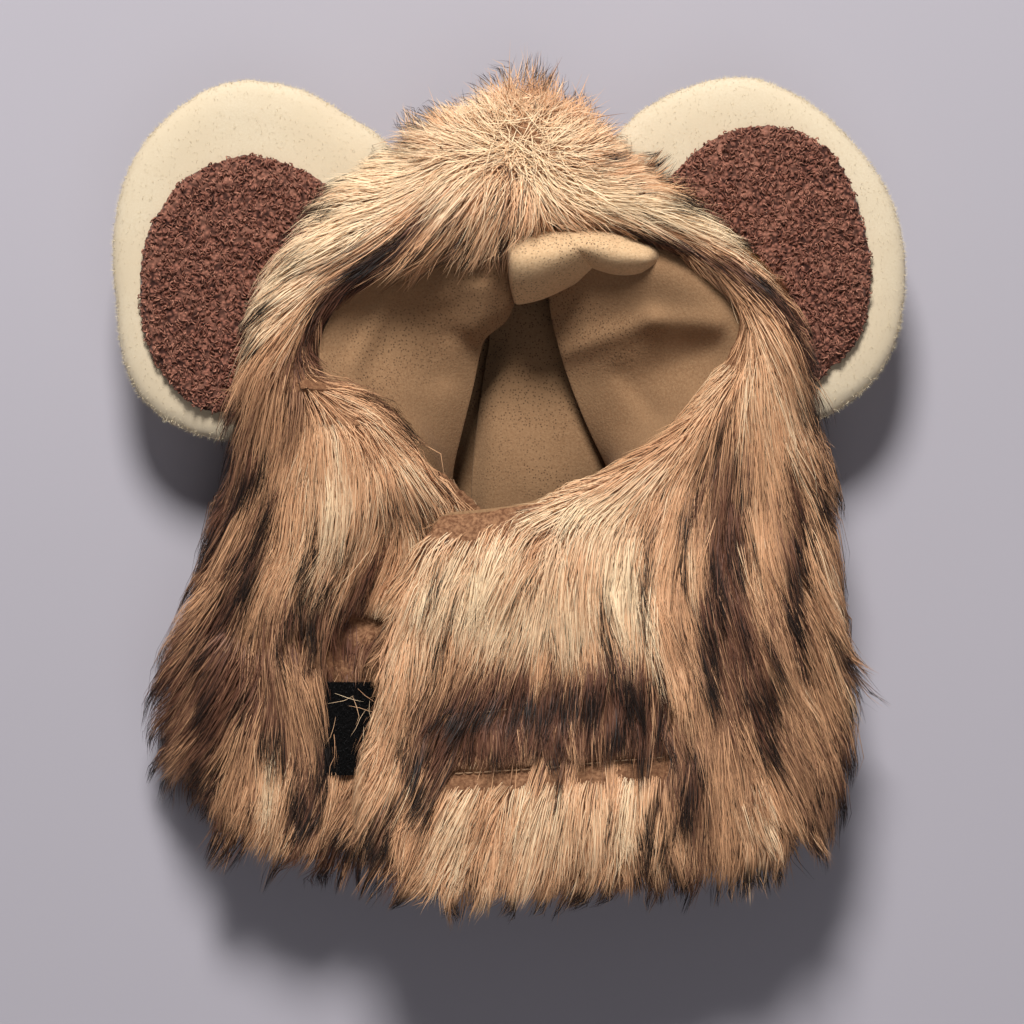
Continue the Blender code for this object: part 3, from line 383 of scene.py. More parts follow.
HEM_FOLD = (
    ((560, 240, 50), (556, 244, 53), (558, 249, 55), (562, 254, 52), (566, 256, 46)),
    ((590, 234, 50), (588, 242, 57), (588, 253, 59), (590, 264, 55), (593, 271, 46)),
    ((622, 236, 50), (620, 245, 58), (618, 258, 60), (617, 271, 56), (616, 280, 46)),
    ((652, 244, 50), (650, 252, 57), (645, 264, 59), (639, 275, 54), (634, 282, 45)),
    ((664, 256, 47), (662, 260, 52), (657, 267, 53), (650, 274, 49), (643, 279, 43)),
)

# The rows of stitches that hold the tape under the flap, by pixel, and their thread.
STITCH_ROW = ((455, 771), (540, 765), (610, 758), (663, 754), (661, 693), (600, 700), (530, 704), (446, 714))
STITCH_STEP = 2.6 * MM
THREAD_RADIUS = 0.2 * MM
THREAD_SIDES = 5

# The hook tape's face, and the hairs caught on it.
TAPE_HEIGHT = 46.6 * MM
CAUGHT_HAIRS = 12

PILE_SEED = 41

# The range of tones in the short hairs of ears and tape.
FUZZ_TONES = (0.05, 0.95)


def at(px, py):
    """The place over the part of a pixel of the photograph, in metres."""
    return ((px - ORIGIN_PX[0]) * PIXEL, (ORIGIN_PX[1] - py) * PIXEL)


def rows_of(columns, table):
    return [dict(zip(columns, row)) for row in table]


def band_sum(table, x, y):
    """The changes of all bands at points given in pixels, each fading with the distance to its line."""
    total = np.zeros(len(x))
    for row in rows_of(BAND_COLUMNS, table):
        ax, ay = row["from_x"], row["from_y"]
        bx, by = row["to_x"] - ax, row["to_y"] - ay
        along = np.clip(((x - ax) * bx + (y - ay) * by) / (bx * bx + by * by + 1e-9), 0.0, 1.0)
        gap = np.hypot(x - ax - along * bx, y - ay - along * by)
        total += row["change"] * np.exp(-((gap / row["reach"]) ** 2))
    return total


def to_pixels(points):
    return points[:, 0] / PIXEL + ORIGIN_PX[0], ORIGIN_PX[1] - points[:, 1] / PIXEL


def inside(edge, x, y):
    """Which points lie inside a closed outline."""
    found = np.zeros(len(x), bool)
    for (ax, ay), (bx, by) in zip(edge, edge[1:] + edge[:1]):
        if ay == by:
            continue
        crosses = (ay > y) != (by > y)
        found ^= crosses & (x < (bx - ax) * (y - ay) / (by - ay) + ax)
    return found


class Shade:
    """One value of a material. Arithmetic on it adds the Math nodes."""

    def __init__(self, tree, socket=None):
        self.tree = tree
        self.socket = socket

    def node(self, kind, settings=None, feeds=None, out=0):
        made = self.tree.nodes.new(kind)
        for name, value in (settings or {}).items():
            if name == "stops":
                ramp = made.color_ramp
                while len(ramp.elements) < len(value):
                    ramp.elements.new(0.5)
                for element, (place, colour) in zip(ramp.elements, value):
                    element.position = place
                    element.color = (*colour, 1.0)
            else:
                setattr(made, name, value)
        for name, value in (feeds or {}).items():
            if isinstance(value, Shade):
                self.tree.links.new(value.socket, made.inputs[name])
            else:
                made.inputs[name].default_value = value
        return Shade(self.tree, made.outputs[out])

    def maths(self, operation, first, second):
        return self.node("ShaderNodeMath", {"operation": operation}, {0: first, 1: second})

    def __add__(self, other):
        return self.maths("ADD", self, other)

    __radd__ = __add__

    def __sub__(self, other):
        return self.maths("SUBTRACT", self, other)

    def __rsub__(self, other):
        return self.maths("SUBTRACT", other, self)

    def __mul__(self, other):
        return self.maths("MULTIPLY", self, other)

    __rmul__ = __mul__

    def ramp(self, low, high, start=0.0, end=1.0):
        """Runs smoothly from start at low to end at high."""
        return self.node(
            "ShaderNodeMapRange",
            {"interpolation_type": "SMOOTHSTEP"},
            {"Value": self, "From Min": low, "From Max": high, "To Min": start, "To Max": end},
        )

    def blend(self, first, second):
        """The colour first where this value is 0, second where it is 1."""
        mixed = self.node("ShaderNodeMix", {"data_type": "RGBA"}, {0: self}, 2)
        node = mixed.socket.node
        for slot, value in ((6, first), (7, second)):
            if isinstance(value, Shade):
                self.tree.links.new(value.socket, node.inputs[slot])
            else:
                node.inputs[slot].default_value = (*value, 1.0)
        return mixed


def new_material(name, roughness, specular=0.3, sheen=0.0):
    """A material, its tree to build in, and its shader."""
    made = bpy.data.materials.new(name)
    made.use_nodes = True
    shader = made.node_tree.nodes["Principled BSDF"]
    shader.inputs["Roughness"].default_value = roughness
    shader.inputs["Specular IOR Level"].default_value = specular
    shader.inputs["Sheen Weight"].default_value = sheen
    return made, Shade(made.node_tree), shader


def feed(shader, name, value):
    value.tree.links.new(value.socket, shader.inputs[name])


def place_of(start):
    return start.node("ShaderNodeTexCoord", out=3)


def noise(start, scale, detail=3.0, roughness=0.55):
    return start.node(
        "ShaderNodeTexNoise",
        feeds={"Vector": place_of(start), "Scale": scale, "Detail": detail, "Roughness": roughness},
    )


def bump(start, height, distance, strength=1.0):
    return start.node("ShaderNodeBump", feeds={"Height": height, "Distance": distance, "Strength": strength})


CREAM = (0.94, 0.73, 0.47)
TAN = (0.74, 0.41, 0.215)
BROWN = (0.14, 0.056, 0.034)
# painted shade deep in the pile, at the hairs' roots
ROOT_SHADE = (0.11, 0.045, 0.026)
TIP_BLACK = (0.015, 0.010, 0.008)


def hair_run(start):
    """The tone of each hair, and the way from its root to its tip, from the hair's own map."""
    spot = start.node("ShaderNodeUVMap", {"uv_map": "OFBake"})
    parts = start.node("ShaderNodeSeparateXYZ", feeds={0: spot})
    return parts, Shade(start.tree, parts.socket.node.outputs[1])


def pile_material():
    """Long pile: u runs from cream to brown twice, then with black tips; v runs from root to tip, darker near
    the root as painted shade deep in the pile.
    """
    made, start, shader = new_material("mane_pile", 0.5, 0.22)
    run, along = hair_run(start)
    guard = start.maths("GREATER_THAN", run, 0.5)
    tone = run * 2.0 - guard
    pale = tone.ramp(0.0, 0.5).blend(CREAM, TAN)
    hair = tone.ramp(0.45, 1.0).blend(pale, BROWN)
    # darker towards the root: painted shade
    rooted = along.ramp(0.0, 0.3, 0.4, 0.0).blend(hair, ROOT_SHADE)
    dark = guard * along.ramp(0.36, 0.66, 0.0, 0.98)
    feed(shader, "Base Color", dark.blend(rooted, TIP_BLACK))
    return made


def skin_material():
    made, start, shader = new_material("mane_backing", 0.8, 0.1)
    strands = noise(start, 900, 4.0, 0.6)
    patches = noise(start, 60, 3.0)
    colour = patches.ramp(0.35, 0.65).blend((0.26, 0.13, 0.065), (0.40, 0.21, 0.11))
    feed(shader, "Base Color", strands.ramp(0.3, 0.7).blend(colour, (0.14, 0.06, 0.03)))
    feed(shader, "Normal", bump(start, strands, 0.6 * MM, 0.6))
    return made


def plush_material():
    """Cream short plush, its nap brushed in soft patches."""
    made, start, shader = new_material("ear_plush", 0.85, 0.15, 0.25)
    shader.inputs["Sheen Roughness"].default_value = 0.5
    nap = noise(start, 40, 4.0, 0.55)
    fine = noise(start, 1700, 3.0, 0.7)
    colour = nap.ramp(0.35, 0.68).blend((0.65, 0.54, 0.38), (0.69, 0.59, 0.43))
    feed(shader, "Base Color", fine.ramp(0.25, 0.75).blend(colour, (0.63, 0.52, 0.36)))
    feed(shader, "Normal", bump(start, nap * 0.5 + fine * 0.06, 0.3 * MM, 0.3))
    return made


def boucle_material():
    """Brown curled pile: small knots, with painted highlights on their tops and painted shade in the gaps
    between them.
    """
    made, start, shader = new_material("ear_boucle", 0.9, 0.12, 0.15)
    knots = start.node(
        "ShaderNodeTexVoronoi",
        {"feature": "SMOOTH_F1"},
        {"Vector": place_of(start), "Scale": 780, "Smoothness": 0.6},
    )
    mottle = noise(start, 160, 4.0, 0.6)
    # pale knot centres are a painted highlight, the near-black gaps painted shade
    colour = knots.ramp(0.15, 0.7).blend((0.30, 0.12, 0.08), (0.04, 0.014, 0.010))
    feed(shader, "Base Color", mottle.ramp(0.42, 0.75, 0.0, 0.6).blend(colour, (0.40, 0.18, 0.12)))
    feed(shader, "Normal", bump(start, 1.0 - knots, 0.9 * MM, 0.9))
    return made


def fleece_material(name, pale, deep, bright):
    """Tan brushed fleece whose knit shows as rows of tiny dots."""
    made, start, shader = new_material(name, 0.95, 0.08, 0.04)
    nap = noise(start, 1300, 3.0, 0.7)
    patches = noise(start, 45, 3.0, 0.5)
    worn = noise(start, 30, 2.0, 0.5)
    dots = start.node(
        "ShaderNodeTexVoronoi",
        {"feature": "F1"},
        {"Vector": place_of(start), "Scale": 1150, "Randomness": 0.85},
    )
    colour = patches.ramp(0.35, 0.7).blend(deep, pale)
    brushed = nap.ramp(0.3, 0.75).blend(colour, bright)
    dotted = dots.ramp(0.14, 0.38, 1.0, 0.0) * worn.ramp(0.40, 0.58, 0.15, 0.85)
    feed(shader, "Base Color", dotted.blend(brushed, (0.07, 0.035, 0.02)))
    feed(shader, "Normal", bump(start, nap * 0.6 + patches * 0.5, 0.5 * MM, 0.6))
    return made


def hook_material():
    made, start, shader = new_material("hook_tape_black", 0.6, 0.04)
    grain = noise(start, 1600, 3.0, 0.7)
    feed(shader, "Base Color", grain.ramp(0.4, 0.75).blend((0.003, 0.003, 0.003), (0.010, 0.009, 0.009)))
    feed(shader, "Normal", bump(start, grain, 0.5 * MM, 0.9))
    return made


def loop_material():
    made, start, shader = new_material("loop_tape_black", 0.85, 0.2)
    grain = noise(start, 1100, 4.0, 0.7)
    feed(shader, "Base Color", grain.ramp(0.35, 0.75).blend((0.014, 0.014, 0.016), (0.06, 0.058, 0.06)))
    feed(shader, "Normal", bump(start, grain, 0.6 * MM, 0.9))
    return made


def thread_material():
    made, start, shader = new_material("stitch_thread", 0.6, 0.3)
    ply = noise(start, 2600, 2.0, 0.5)
    feed(shader, "Base Color", ply.ramp(0.35, 0.7).blend((0.34, 0.20, 0.11), (0.48, 0.31, 0.18)))
    feed(shader, "Normal", bump(start, ply, 0.2 * MM, 0.6))
    return made


def floor_material():
    made, start, shader = new_material("table_top", 0.75, 0.2)
    drift = noise(start, 2.4, 2.0, 0.4)
    feed(shader, "Base Color", drift.ramp(0.3, 0.7).blend((0.415, 0.395, 0.435), (0.435, 0.413, 0.458)))
    return made


def linked(name, data):
    made = bpy.data.objects.new(name, data)
    bpy.context.scene.collection.objects.link(made)
    return made


def finished(name, mesh, material):
    """A piece of that mesh, of one material, that rides on the hat."""
    mesh.materials.append(material)
    made = linked(name, mesh)
    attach(made, "root")
    return made


def smoothed(mesh):
    mesh.polygons.foreach_set("use_smooth", [True] * len(mesh.polygons))


def mesh_of(name, points, faces, material):
    """A finished piece from arrays of points and of triangles or quads."""
    mesh = bpy.data.meshes.new(name)
    mesh.from_pydata([tuple(p) for p in points], [], [tuple(f) for f in faces])
    mesh.validate()
    smoothed(mesh)
    return finished(name, mesh, material)


def mesh_of_hairs(name, points, faces, uv, material):
    """A finished piece of loose triangles, with the tone and length at each corner in the OFBake map."""
    mesh = bpy.data.meshes.new(name)
    mesh.vertices.add(points.size // 3)
    mesh.vertices.foreach_set("co", points.ravel())
    mesh.loops.add(faces.size)
    mesh.loops.foreach_set("vertex_index", faces.ravel())
    mesh.polygons.add(len(faces))
    mesh.polygons.foreach_set("loop_start", np.arange(0, faces.size, 3, dtype=np.int32))
    mesh.polygons.foreach_set("loop_total", np.full(len(faces), 3, np.int32))
    smoothed(mesh)
    mesh.uv_layers.new(name="OFBake").data.foreach_set("uv", uv.ravel())
    mesh.update()
    return finished(name, mesh, material)


def copy_of(node, name, material):
    """A merged copy of a CAD node's mesh, as a new piece."""
    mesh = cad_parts[node].data.copy()
    mesh.name = name
    work = bmesh.new()
    work.from_mesh(mesh)
    bmesh.ops.remove_doubles(work, verts=work.verts, dist=0.01 * MM)
    work.to_mesh(mesh)
    work.free()
    mesh.materials.clear()
    made = finished(name, mesh, material)
    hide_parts(node)
    return made


def apply_modifiers(piece):
    bpy.context.view_layer.objects.active = piece
    for name in [modifier.name for modifier in piece.modifiers]:
        bpy.ops.object.modifier_apply(modifier=name)
    smoothed(piece.data)


def remeshed(piece, cell, rounds):
    """The piece rebuilt in even cells and smoothed."""
    grid = piece.modifiers.new("even", "REMESH")
    grid.mode = "VOXEL"
    grid.voxel_size = cell
    piece.modifiers.new("soft", "SMOOTH").iterations = rounds
    apply_modifiers(piece)
    return piece


def read_points(piece, kind):
    found = np.empty(len(piece.data.vertices) * 3, np.float64)
    piece.data.vertices.foreach_get(kind, found)
    return found.reshape(-1, 3)


def points_of(piece):
    return read_points(piece, "co")


def normals_of(piece):
    return read_points(piece, "normal")


def move_points(piece, points):
    piece.data.vertices.foreach_set("co", np.asarray(points, np.float32).ravel())
    piece.data.update()


def triangles_of(piece):
    piece.data.calc_loop_triangles()
    found = np.empty(len(piece.data.loop_triangles) * 3, np.int64)
    piece.data.loop_triangles.foreach_get("vertices", found)
    return found.reshape(-1, 3)


def areas_and_normals(points, faces):
    corners = points[faces]
    cross = np.cross(corners[:, 1] - corners[:, 0], corners[:, 2] - corners[:, 0])
    return 0.5 * np.linalg.norm(cross, axis=1), unit(cross)


def tree_of(points, faces):
    return BVHTree.FromPolygons([tuple(p) for p in points], [tuple(int(i) for i in f) for f in faces])


def make_skin(material):
    """The fur's backing: the hood's form, even and soft, its creases and the stitched rectangle sunk in."""
    skin = copy_of("fur_hood", "mane_backing", material)
    remeshed(skin, SKIN_CELL, 7)
    points, normals = points_of(skin), normals_of(skin)
    px, py = to_pixels(points)
    upper = np.clip(normals[:, 2], 0.0, 1.0)
    depth = band_sum(GROOVE_BANDS, px, py) * MM * upper
    points = points - normals * (depth + 1.2 * MM)[:, None]
    points[:, 2] = np.maximum(points[:, 2], 0.4 * MM)
    middle = np.array(at(*np.mean(TIP_EDGE, axis=0)))
    for _ in range(12):
        outside = ~drawn_in(TIP_EDGE, *to_pixels(points), SKIN_INSET)
        points[outside, :2] += (middle - points[outside, :2]) * 0.012
    move_points(skin, points)
    return skin


class Surroundings:
    """The gap to the backing and the combed direction, on an even grid round the hat."""

    def __init__(self, skin):
        points, faces = points_of(skin), triangles_of(skin)
        tree = tree_of(points, faces)
        self.low = points.min(axis=0) - GRID_MARGIN
        size = points.max(axis=0) + GRID_MARGIN - self.low
        self.shape = tuple(int(n) + 2 for n in size / GRID_CELL)
        axes = [self.low[k] + GRID_CELL * np.arange(self.shape[k]) for k in range(3)]
        places = np.stack(np.meshgrid(*axes, indexing="ij"), axis=-1).reshape(-1, 3)
        gaps = np.empty(len(places))
        for index, place in enumerate(places):
            spot, normal, _, distance = tree.find_nearest(place)
            away = [place[k] - spot[k] for k in range(3)]
            side = away[0] * normal[0] + away[1] * normal[1] + away[2] * normal[2]
            gaps[index] = distance if side >= 0 else -distance
        gaps = gaps.reshape(self.shape)
        slopes = np.stack(np.gradient(gaps, GRID_CELL), axis=-1)
        comb = np.repeat(self.combed(axes[0], axes[1])[:, :, None, :], self.shape[2], axis=2)
        self.values = np.concatenate([gaps[..., None], slopes, comb], -1)

    def combed(self, xs, ys):
        """The comb's direction over the plan."""
        gx, gy = np.meshgrid(xs, ys, indexing="ij")
        total = np.zeros(gx.shape + (2,))
        for row in rows_of(COMB_COLUMNS, COMB):
            x, y = at(row["x"], row["y"])
            length = math.hypot(row["run_x"], row["run_y"])
            weight = 1.0 / (((gx - x) ** 2 + (gy - y) ** 2) + (6 * MM) ** 2) ** 1.6
            total[..., 0] += weight * row["run_x"] / length
            total[..., 1] -= weight * row["run_y"] / length
        return total / np.linalg.norm(total, axis=-1, keepdims=True)

    def sample(self, points):
        """The gap, its slope, and the comb at those points."""
        spot = (points - self.low) / GRID_CELL
        spot = np.clip(spot, 0, np.array(self.shape) - 1.001)
        cell = spot.astype(int)
        part = spot - cell
        total = np.zeros((len(points), self.values.shape[-1]))
        for dx in (0, 1):
            for dy in (0, 1):
                for dz in (0, 1):
                    shares = np.abs(1 - np.array((dx, dy, dz)) - part)
                    weight = shares[:, 0] * shares[:, 1] * shares[:, 2]
                    total += weight[:, None] * self.values[cell[:, 0] + dx, cell[:, 1] + dy, cell[:, 2] + dz]
        return total[:, 0], total[:, 1:4], total[:, 4:6]


def unit(vectors):
    return vectors / np.maximum(np.linalg.norm(vectors, axis=-1, keepdims=True), 1e-12)


# How a hair leaves its own way for its lock's, from root to tip.
RISE = (np.linspace(0, 1, STRAND_STEPS + 1) ** 1.3)[None, :, None]


def grow(around, roots, normals, lengths, lifts, stray):
    """The path of each hair from its root: combed along the backing, rising to its lift at the tip."""
    points = roots - normals * 0.8 * MM
    paths = [points]
    step = (lengths / STRAND_STEPS)[:, None]
    heading = None
    for count in range(STRAND_STEPS):
        share = (count + 1) / STRAND_STEPS
        gap, slope, comb = around.sample(points)
        out = unit(slope)
        upright = np.clip(out[:, 2], 0.0, 1.0)
        run = np.zeros_like(points)
        run[:, :2] = comb
        run[:, 2] = -(1.0 - upright) * 0.75
        run += stray
        run -= out * (np.sum(run * out, axis=1) * 0.75)[:, None]
        run = unit(run)
        heading = run if heading is None else unit(heading * 0.6 + run * 0.4)
        if count == 0:
            heading = unit(heading + normals * 0.55)
        points = points + heading * step
        gap, slope, _ = around.sample(points)
        wanted = lifts * share**1.2 - 0.5 * MM
        change = wanted - gap
        push = np.where(change > 0, np.minimum(change, 2.2 * MM) * 0.8, np.maximum(change, -1.0 * MM) * 0.16)
        points = points + unit(slope) * push[:, None]
        points[:, 2] = np.maximum(points[:, 2], 0.7 * MM)
        paths.append(points)
    return np.stack(paths, axis=1)


def outer_faces(skin):
    """The backing's faces that carry pile: not those against the lining, nor those under the flap."""
    points, faces = points_of(skin), triangles_of(skin)
    middles = points[faces].mean(axis=1)
    areas, normals = areas_and_normals(points, faces)
    own = tree_of(points, faces)
    linings = []
    for node in ("lining", "lining_fold_left", "lining_fold_right"):
        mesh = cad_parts[node].data
        corners = [vertex.co.copy() for vertex in mesh.vertices]
        linings.append(BVHTree.FromPolygons(corners, [list(face.vertices) for face in mesh.polygons]))
    keep = np.zeros(len(faces), bool)
    for index, (middle, normal) in enumerate(zip(middles, normals)):
        near = min(tree.find_nearest(middle)[3] for tree in linings)
        on_rim = normal[2] > 0.1 and middle[2] > 25 * MM
        if near < 3.6 * MM and not on_rim:
            continue
        start = Vector(middle + normal * 0.6 * MM)
        hit = own.ray_cast(start, Vector(normal), (5 if normal[2] > 0.2 else 26) * MM)
        keep[index] = hit[0] is None
    return faces[keep], areas[keep], normals[keep], points


def scattered(faces, weights, points, vertex_normals, count, chance):
    """Random roots over the faces, as many on each as its weight asks."""
    picked = chance.choice(len(faces), count, p=weights / weights.sum())
    a, b = chance.random(count), chance.random(count)
    flip = a + b > 1
    a[flip], b[flip] = 1 - a[flip], 1 - b[flip]
    mix = np.stack([1 - a - b, a, b], axis=1)[:, :, None]
    corners = faces[picked]
    return (points[corners] * mix).sum(axis=1), unit((vertex_normals[corners] * mix).sum(axis=1))


def thinned(points, spacing, chance):
    """Some of the points, no two nearer than the spacing."""
    order = chance.permutation(len(points))
    taken = {}
    kept = []
    for index in order:
        cell = tuple((points[index] // spacing).astype(int))
        crowded = False
        for dx in (-1, 0, 1):
            for dy in (-1, 0, 1):
                for dz in (-1, 0, 1):
                    for other in taken.get((cell[0] + dx, cell[1] + dy, cell[2] + dz), ()):
                        if np.linalg.norm(points[other] - points[index]) < spacing:
                            crowded = True
        if not crowded:
            taken.setdefault(cell, []).append(index)
            kept.append(index)
    return np.array(kept)


def nearest(points, others):
    tree = KDTree(len(others))
    for index, place in enumerate(others):
        tree.insert(place, index)
    tree.balance()
    found = [tree.find(place)[1:] for place in points]
    return np.array([index for index, _ in found]), np.array([gap for _, gap in found])


def along_path(paths, shares, places):
    """Each path cut back to its share of the length and read at that many places."""
    count, steps = paths.shape[:2]
    spots = shares[:, None] * np.linspace(0.0, 1.0, places)[None, :] * (steps - 1)
    lower = np.clip(spots.astype(int), 0, steps - 2)
    part = (spots - lower)[..., None]
    rows = np.arange(count)[:, None]
    return paths[rows, lower] * (1 - part) + paths[rows, lower + 1] * part


def drawn_in(edge, px, py, shrink):
    """Which points lie inside the outline when it is drawn in towards its middle by that share."""
    x, y = np.mean(edge, axis=0)
    return inside(edge, x + (px - x) / (1 - shrink), y + (py - y) / (1 - shrink))


def first_share(hit, count):
    """The share of each path that lies before its first hit."""
    hit = hit.reshape(count, -1)
    steps = hit.shape[1]
    first = np.where(hit.any(axis=1), hit.argmax(axis=1), steps)
    return np.clip((first - 0.5) / (steps - 1), 0.0, 1.0)


def within_tips(paths, reach):
    """The paths cut back to the outline of the fur's tips, each let out or held in by its reach."""
    count, steps = paths.shape[:2]
    px, py = to_pixels(paths.reshape(-1, 3))
    share = first_share(~drawn_in(TIP_EDGE, px, py, -np.repeat(reach, steps)), count)
    return along_path(paths, share, steps), share


def clear_share(paths, obeys, chance):
    """How much of each hair stays, so that few cross the face opening, the tape or a seam."""
    count, steps = paths.shape[:2]
    px, py = to_pixels(paths.reshape(-1, 3))
    over = np.repeat(chance.random(count) ** 2, steps)
    opening = drawn_in(OPENING_EDGE, px, py, 0.02 + 0.17 * over)
    share = np.where(opening[::steps], 0.35, first_share(opening, count))
    share = np.minimum(share, first_share(drawn_in(TAPE_EDGE, px, py, 0.05 + 0.4 * over), count))
    share = np.where(chance.random(count) < 0.03, np.maximum(share, 0.75), share)
    crease = inside(CREASE_EDGE, px, py)
    seam = np.where(crease[::steps], 1.0, first_share(crease, count))
    seam = np.minimum(seam, first_share(inside(STITCH_EDGE, px, py), count))
    return np.where(obeys, np.minimum(share, seam), share)


def hair_strips(paths, out, widths, tones):
    """Flat tapering hairs along their paths: corners, triangles, and tone and length at their corners."""
    count, places = paths.shape[:2]
    ahead = unit(np.gradient(paths, axis=1))
    across = unit(np.cross(ahead, out[:, None, :]))
    corners = 2 * places - 1
    points = np.empty((count, corners, 3), np.float32)
    profile = (0.75, 1.0, 0.8)
    for index in range(places - 1):
        half = across[:, index] * (widths * profile[index] * 0.5)[:, None]
        points[:, 2 * index] = paths[:, index] - half
        points[:, 2 * index + 1] = paths[:, index] + half
    points[:, -1] = paths[:, -1]
    pattern = []
    for index in range(places - 2):
        a = 2 * index
        pattern += [(a, a + 1, a + 3), (a, a + 3, a + 2)]
    pattern.append((corners - 3, corners - 2, corners - 1))
    pattern = np.array(pattern)
    share = 0.04 + 0.93 * np.append(np.repeat(np.arange(places - 1), 2), places - 1) / (places - 1)
    uv = np.empty((count, len(pattern), 3, 2), np.float32)
    uv[..., 0] = tones[:, None, None]
    uv[..., 1] = share[pattern][None]
    faces = (np.arange(count)[:, None, None] * corners + pattern[None]).astype(np.int32)
    return points.reshape(-1, 3), faces.reshape(-1, 3), uv.reshape(-1, 2)


def hair_piece(name, strips, material):
    """One mesh of several lots of hairs, with their tone and length in the OFBake map."""
    points = np.concatenate([lot[0] for lot in strips])
    starts = np.cumsum([0] + [len(lot[0]) for lot in strips[:-1]])
    faces = np.concatenate([lot[1] + start for lot, start in zip(strips, starts)]).astype(np.int32)
    uv = np.concatenate([lot[2] for lot in strips])
    mesh_of_hairs(name, points, faces, uv, material)


def grown_streaks(around, spots, normals, chance):
    """Long streaks through the pile, and how dark (plus) or pale (minus) each is."""
    picked = chance.choice(len(spots), STREAK_COUNT, replace=False)
    lengths = chance.uniform(20, 42, STREAK_COUNT) * MM
    stray = chance.normal(0, 0.06, (STREAK_COUNT, 3))
    paths = grow(around, spots[picked], normals[picked], lengths, np.full(STREAK_COUNT, HAIR_LIFT), stray)
    tones = np.where(chance.random(STREAK_COUNT) < 0.5, 1.0, -0.9) * chance.uniform(0.4, 1.0, STREAK_COUNT)
    return along_path(paths, np.ones(STREAK_COUNT), 32), tones


def pile_lengths(places, spread, chance):
    """How long the pile is at those places, by chance a little more or less."""
    px, py = to_pixels(places)
    wanted = HAIR_LENGTH + band_sum(LENGTH_BANDS, px, py) * MM
    return np.maximum(wanted, SHORTEST_HAIR) * (1 + spread * chance.uniform(-1, 1, len(places)))


def grown_locks(around, spots, spot_normals, chance):
    """The locks that the hairs gather in, themselves drawn towards wider tufts."""
    tuft_index = thinned(spots, TUFT_SPACING, chance)
    lock_index = thinned(spots, LOCK_SPACING, chance)
    tuft_roots, tuft_normals = spots[tuft_index], spot_normals[tuft_index]
    tuft_stray = chance.normal(0, 0.13, tuft_roots.shape)
    tuft_lengths = pile_lengths(tuft_roots, 0.12, chance)
    tufts = grow(around, tuft_roots, tuft_normals, tuft_lengths, HAIR_LIFT * 1.2, tuft_stray)

    roots, normals = spots[lock_index], spot_normals[lock_index]
    tuft = nearest(roots, tuft_roots)[0]
    stray = tuft_stray[tuft] * 0.7 + chance.normal(0, 0.10, roots.shape)
    lift = HAIR_LIFT * chance.uniform(0.6, 1.5, len(roots))
    paths = grow(around, roots, normals, pile_lengths(roots, 0.22, chance), lift, stray)
    paths = paths + (tufts[tuft] - paths) * RISE * 0.35
    reach = chance.triangular(*TIP_SPREAD, len(roots))
    at_edge = ~drawn_in(TIP_EDGE, *to_pixels(roots), SPIKE_BELT)
    spiked = at_edge & (chance.random(len(roots)) < SPIKE_SHARE)
    reach = np.where(spiked, SPIKE_REACH, reach - HELD_IN)
    paths = within_tips(paths, reach)[0]
    obeys = chance.random(len(roots)) < 0.8
    tuft_tone = chance.normal(0, 0.06, len(tuft_roots))
    tone = chance.normal(0, 0.06, len(roots)) + tuft_tone[tuft]
    return SimpleNamespace(
        roots=roots, paths=paths, stray=stray, lift=lift, reach=reach, spiked=spiked, obeys=obeys, tone=tone
    )


def grown_hairs(around, roots, normals, locks, mine, under, chance):
    """The path of each hair within the fur's tips, and how much of it that left."""
    px, py = to_pixels(roots)
    long_hair = pile_lengths(roots, 0.2, chance) * np.where(drawn_in(TIP_EDGE, px, py, 0.2), 1.0, 1.25)
    lengths = np.where(under, long_hair * chance.uniform(0.5, 0.78, STRANDS), long_hair)
    lifts = locks.lift[mine] * chance.uniform(0.5, 1.3, STRANDS) * np.where(under, 0.7, 1.0)
    stray = locks.stray[mine] * 0.8 + chance.normal(0, 0.08, roots.shape)
    whorl = np.exp(-(((px - WHORL_PX[0]) ** 2 + (py - WHORL_PX[1]) ** 2) / WHORL_REACH**2))
    stray += chance.normal(0, 1.0, roots.shape) * whorl[:, None]
    lifts = lifts + 6 * MM * whorl
    reach = np.minimum(locks.reach[mine] + chance.normal(0, 0.015, STRANDS), SPIKE_REACH)
    return within_tips(grow(around, roots, normals, lengths, lifts, stray), reach)


def marks(places, streak_paths, streak_tone):
    """The drawn and the random streaks, and the broad bands, at those places."""
    streak, gap = nearest(places, streak_paths.reshape(-1, 3))
    field = streak_tone[streak // streak_paths.shape[1]] * np.exp(-((gap / STREAK_WIDTH) ** 2))
    px, py = to_pixels(places)
    return band_sum(STREAK_BANDS, px, py), field, band_sum(TONE_AND_SHADE_BANDS, px, py)


def coat_pattern(paths, roots, streaks):
    """The stronger of the marks near each hair's tip and its middle, and the bands along it."""
    drawn, field, bands = marks(paths[:, -3], *streaks)
    drawn_mid, field_mid, _ = marks(paths[:, -5], *streaks)
    drawn = np.where(np.abs(drawn_mid) > np.abs(drawn), drawn_mid, drawn)
    field = np.where(np.abs(field_mid) > np.abs(field), field_mid, field)
    return drawn, field, 0.3 * band_sum(TONE_AND_SHADE_BANDS, *to_pixels(roots)) + 0.7 * bands


def black_tip_share(drawn, field, bands):
    """How likely a hair is to have a black tip."""
    wish = 0.05 + 0.16 * np.clip(bands, 0, 1) + 1.35 * np.clip(drawn, 0, 1) + 1.1 * np.clip(field, 0, 1)
    return np.clip(wish + 0.4 * np.minimum(drawn + field, 0), 0.02, 0.97)


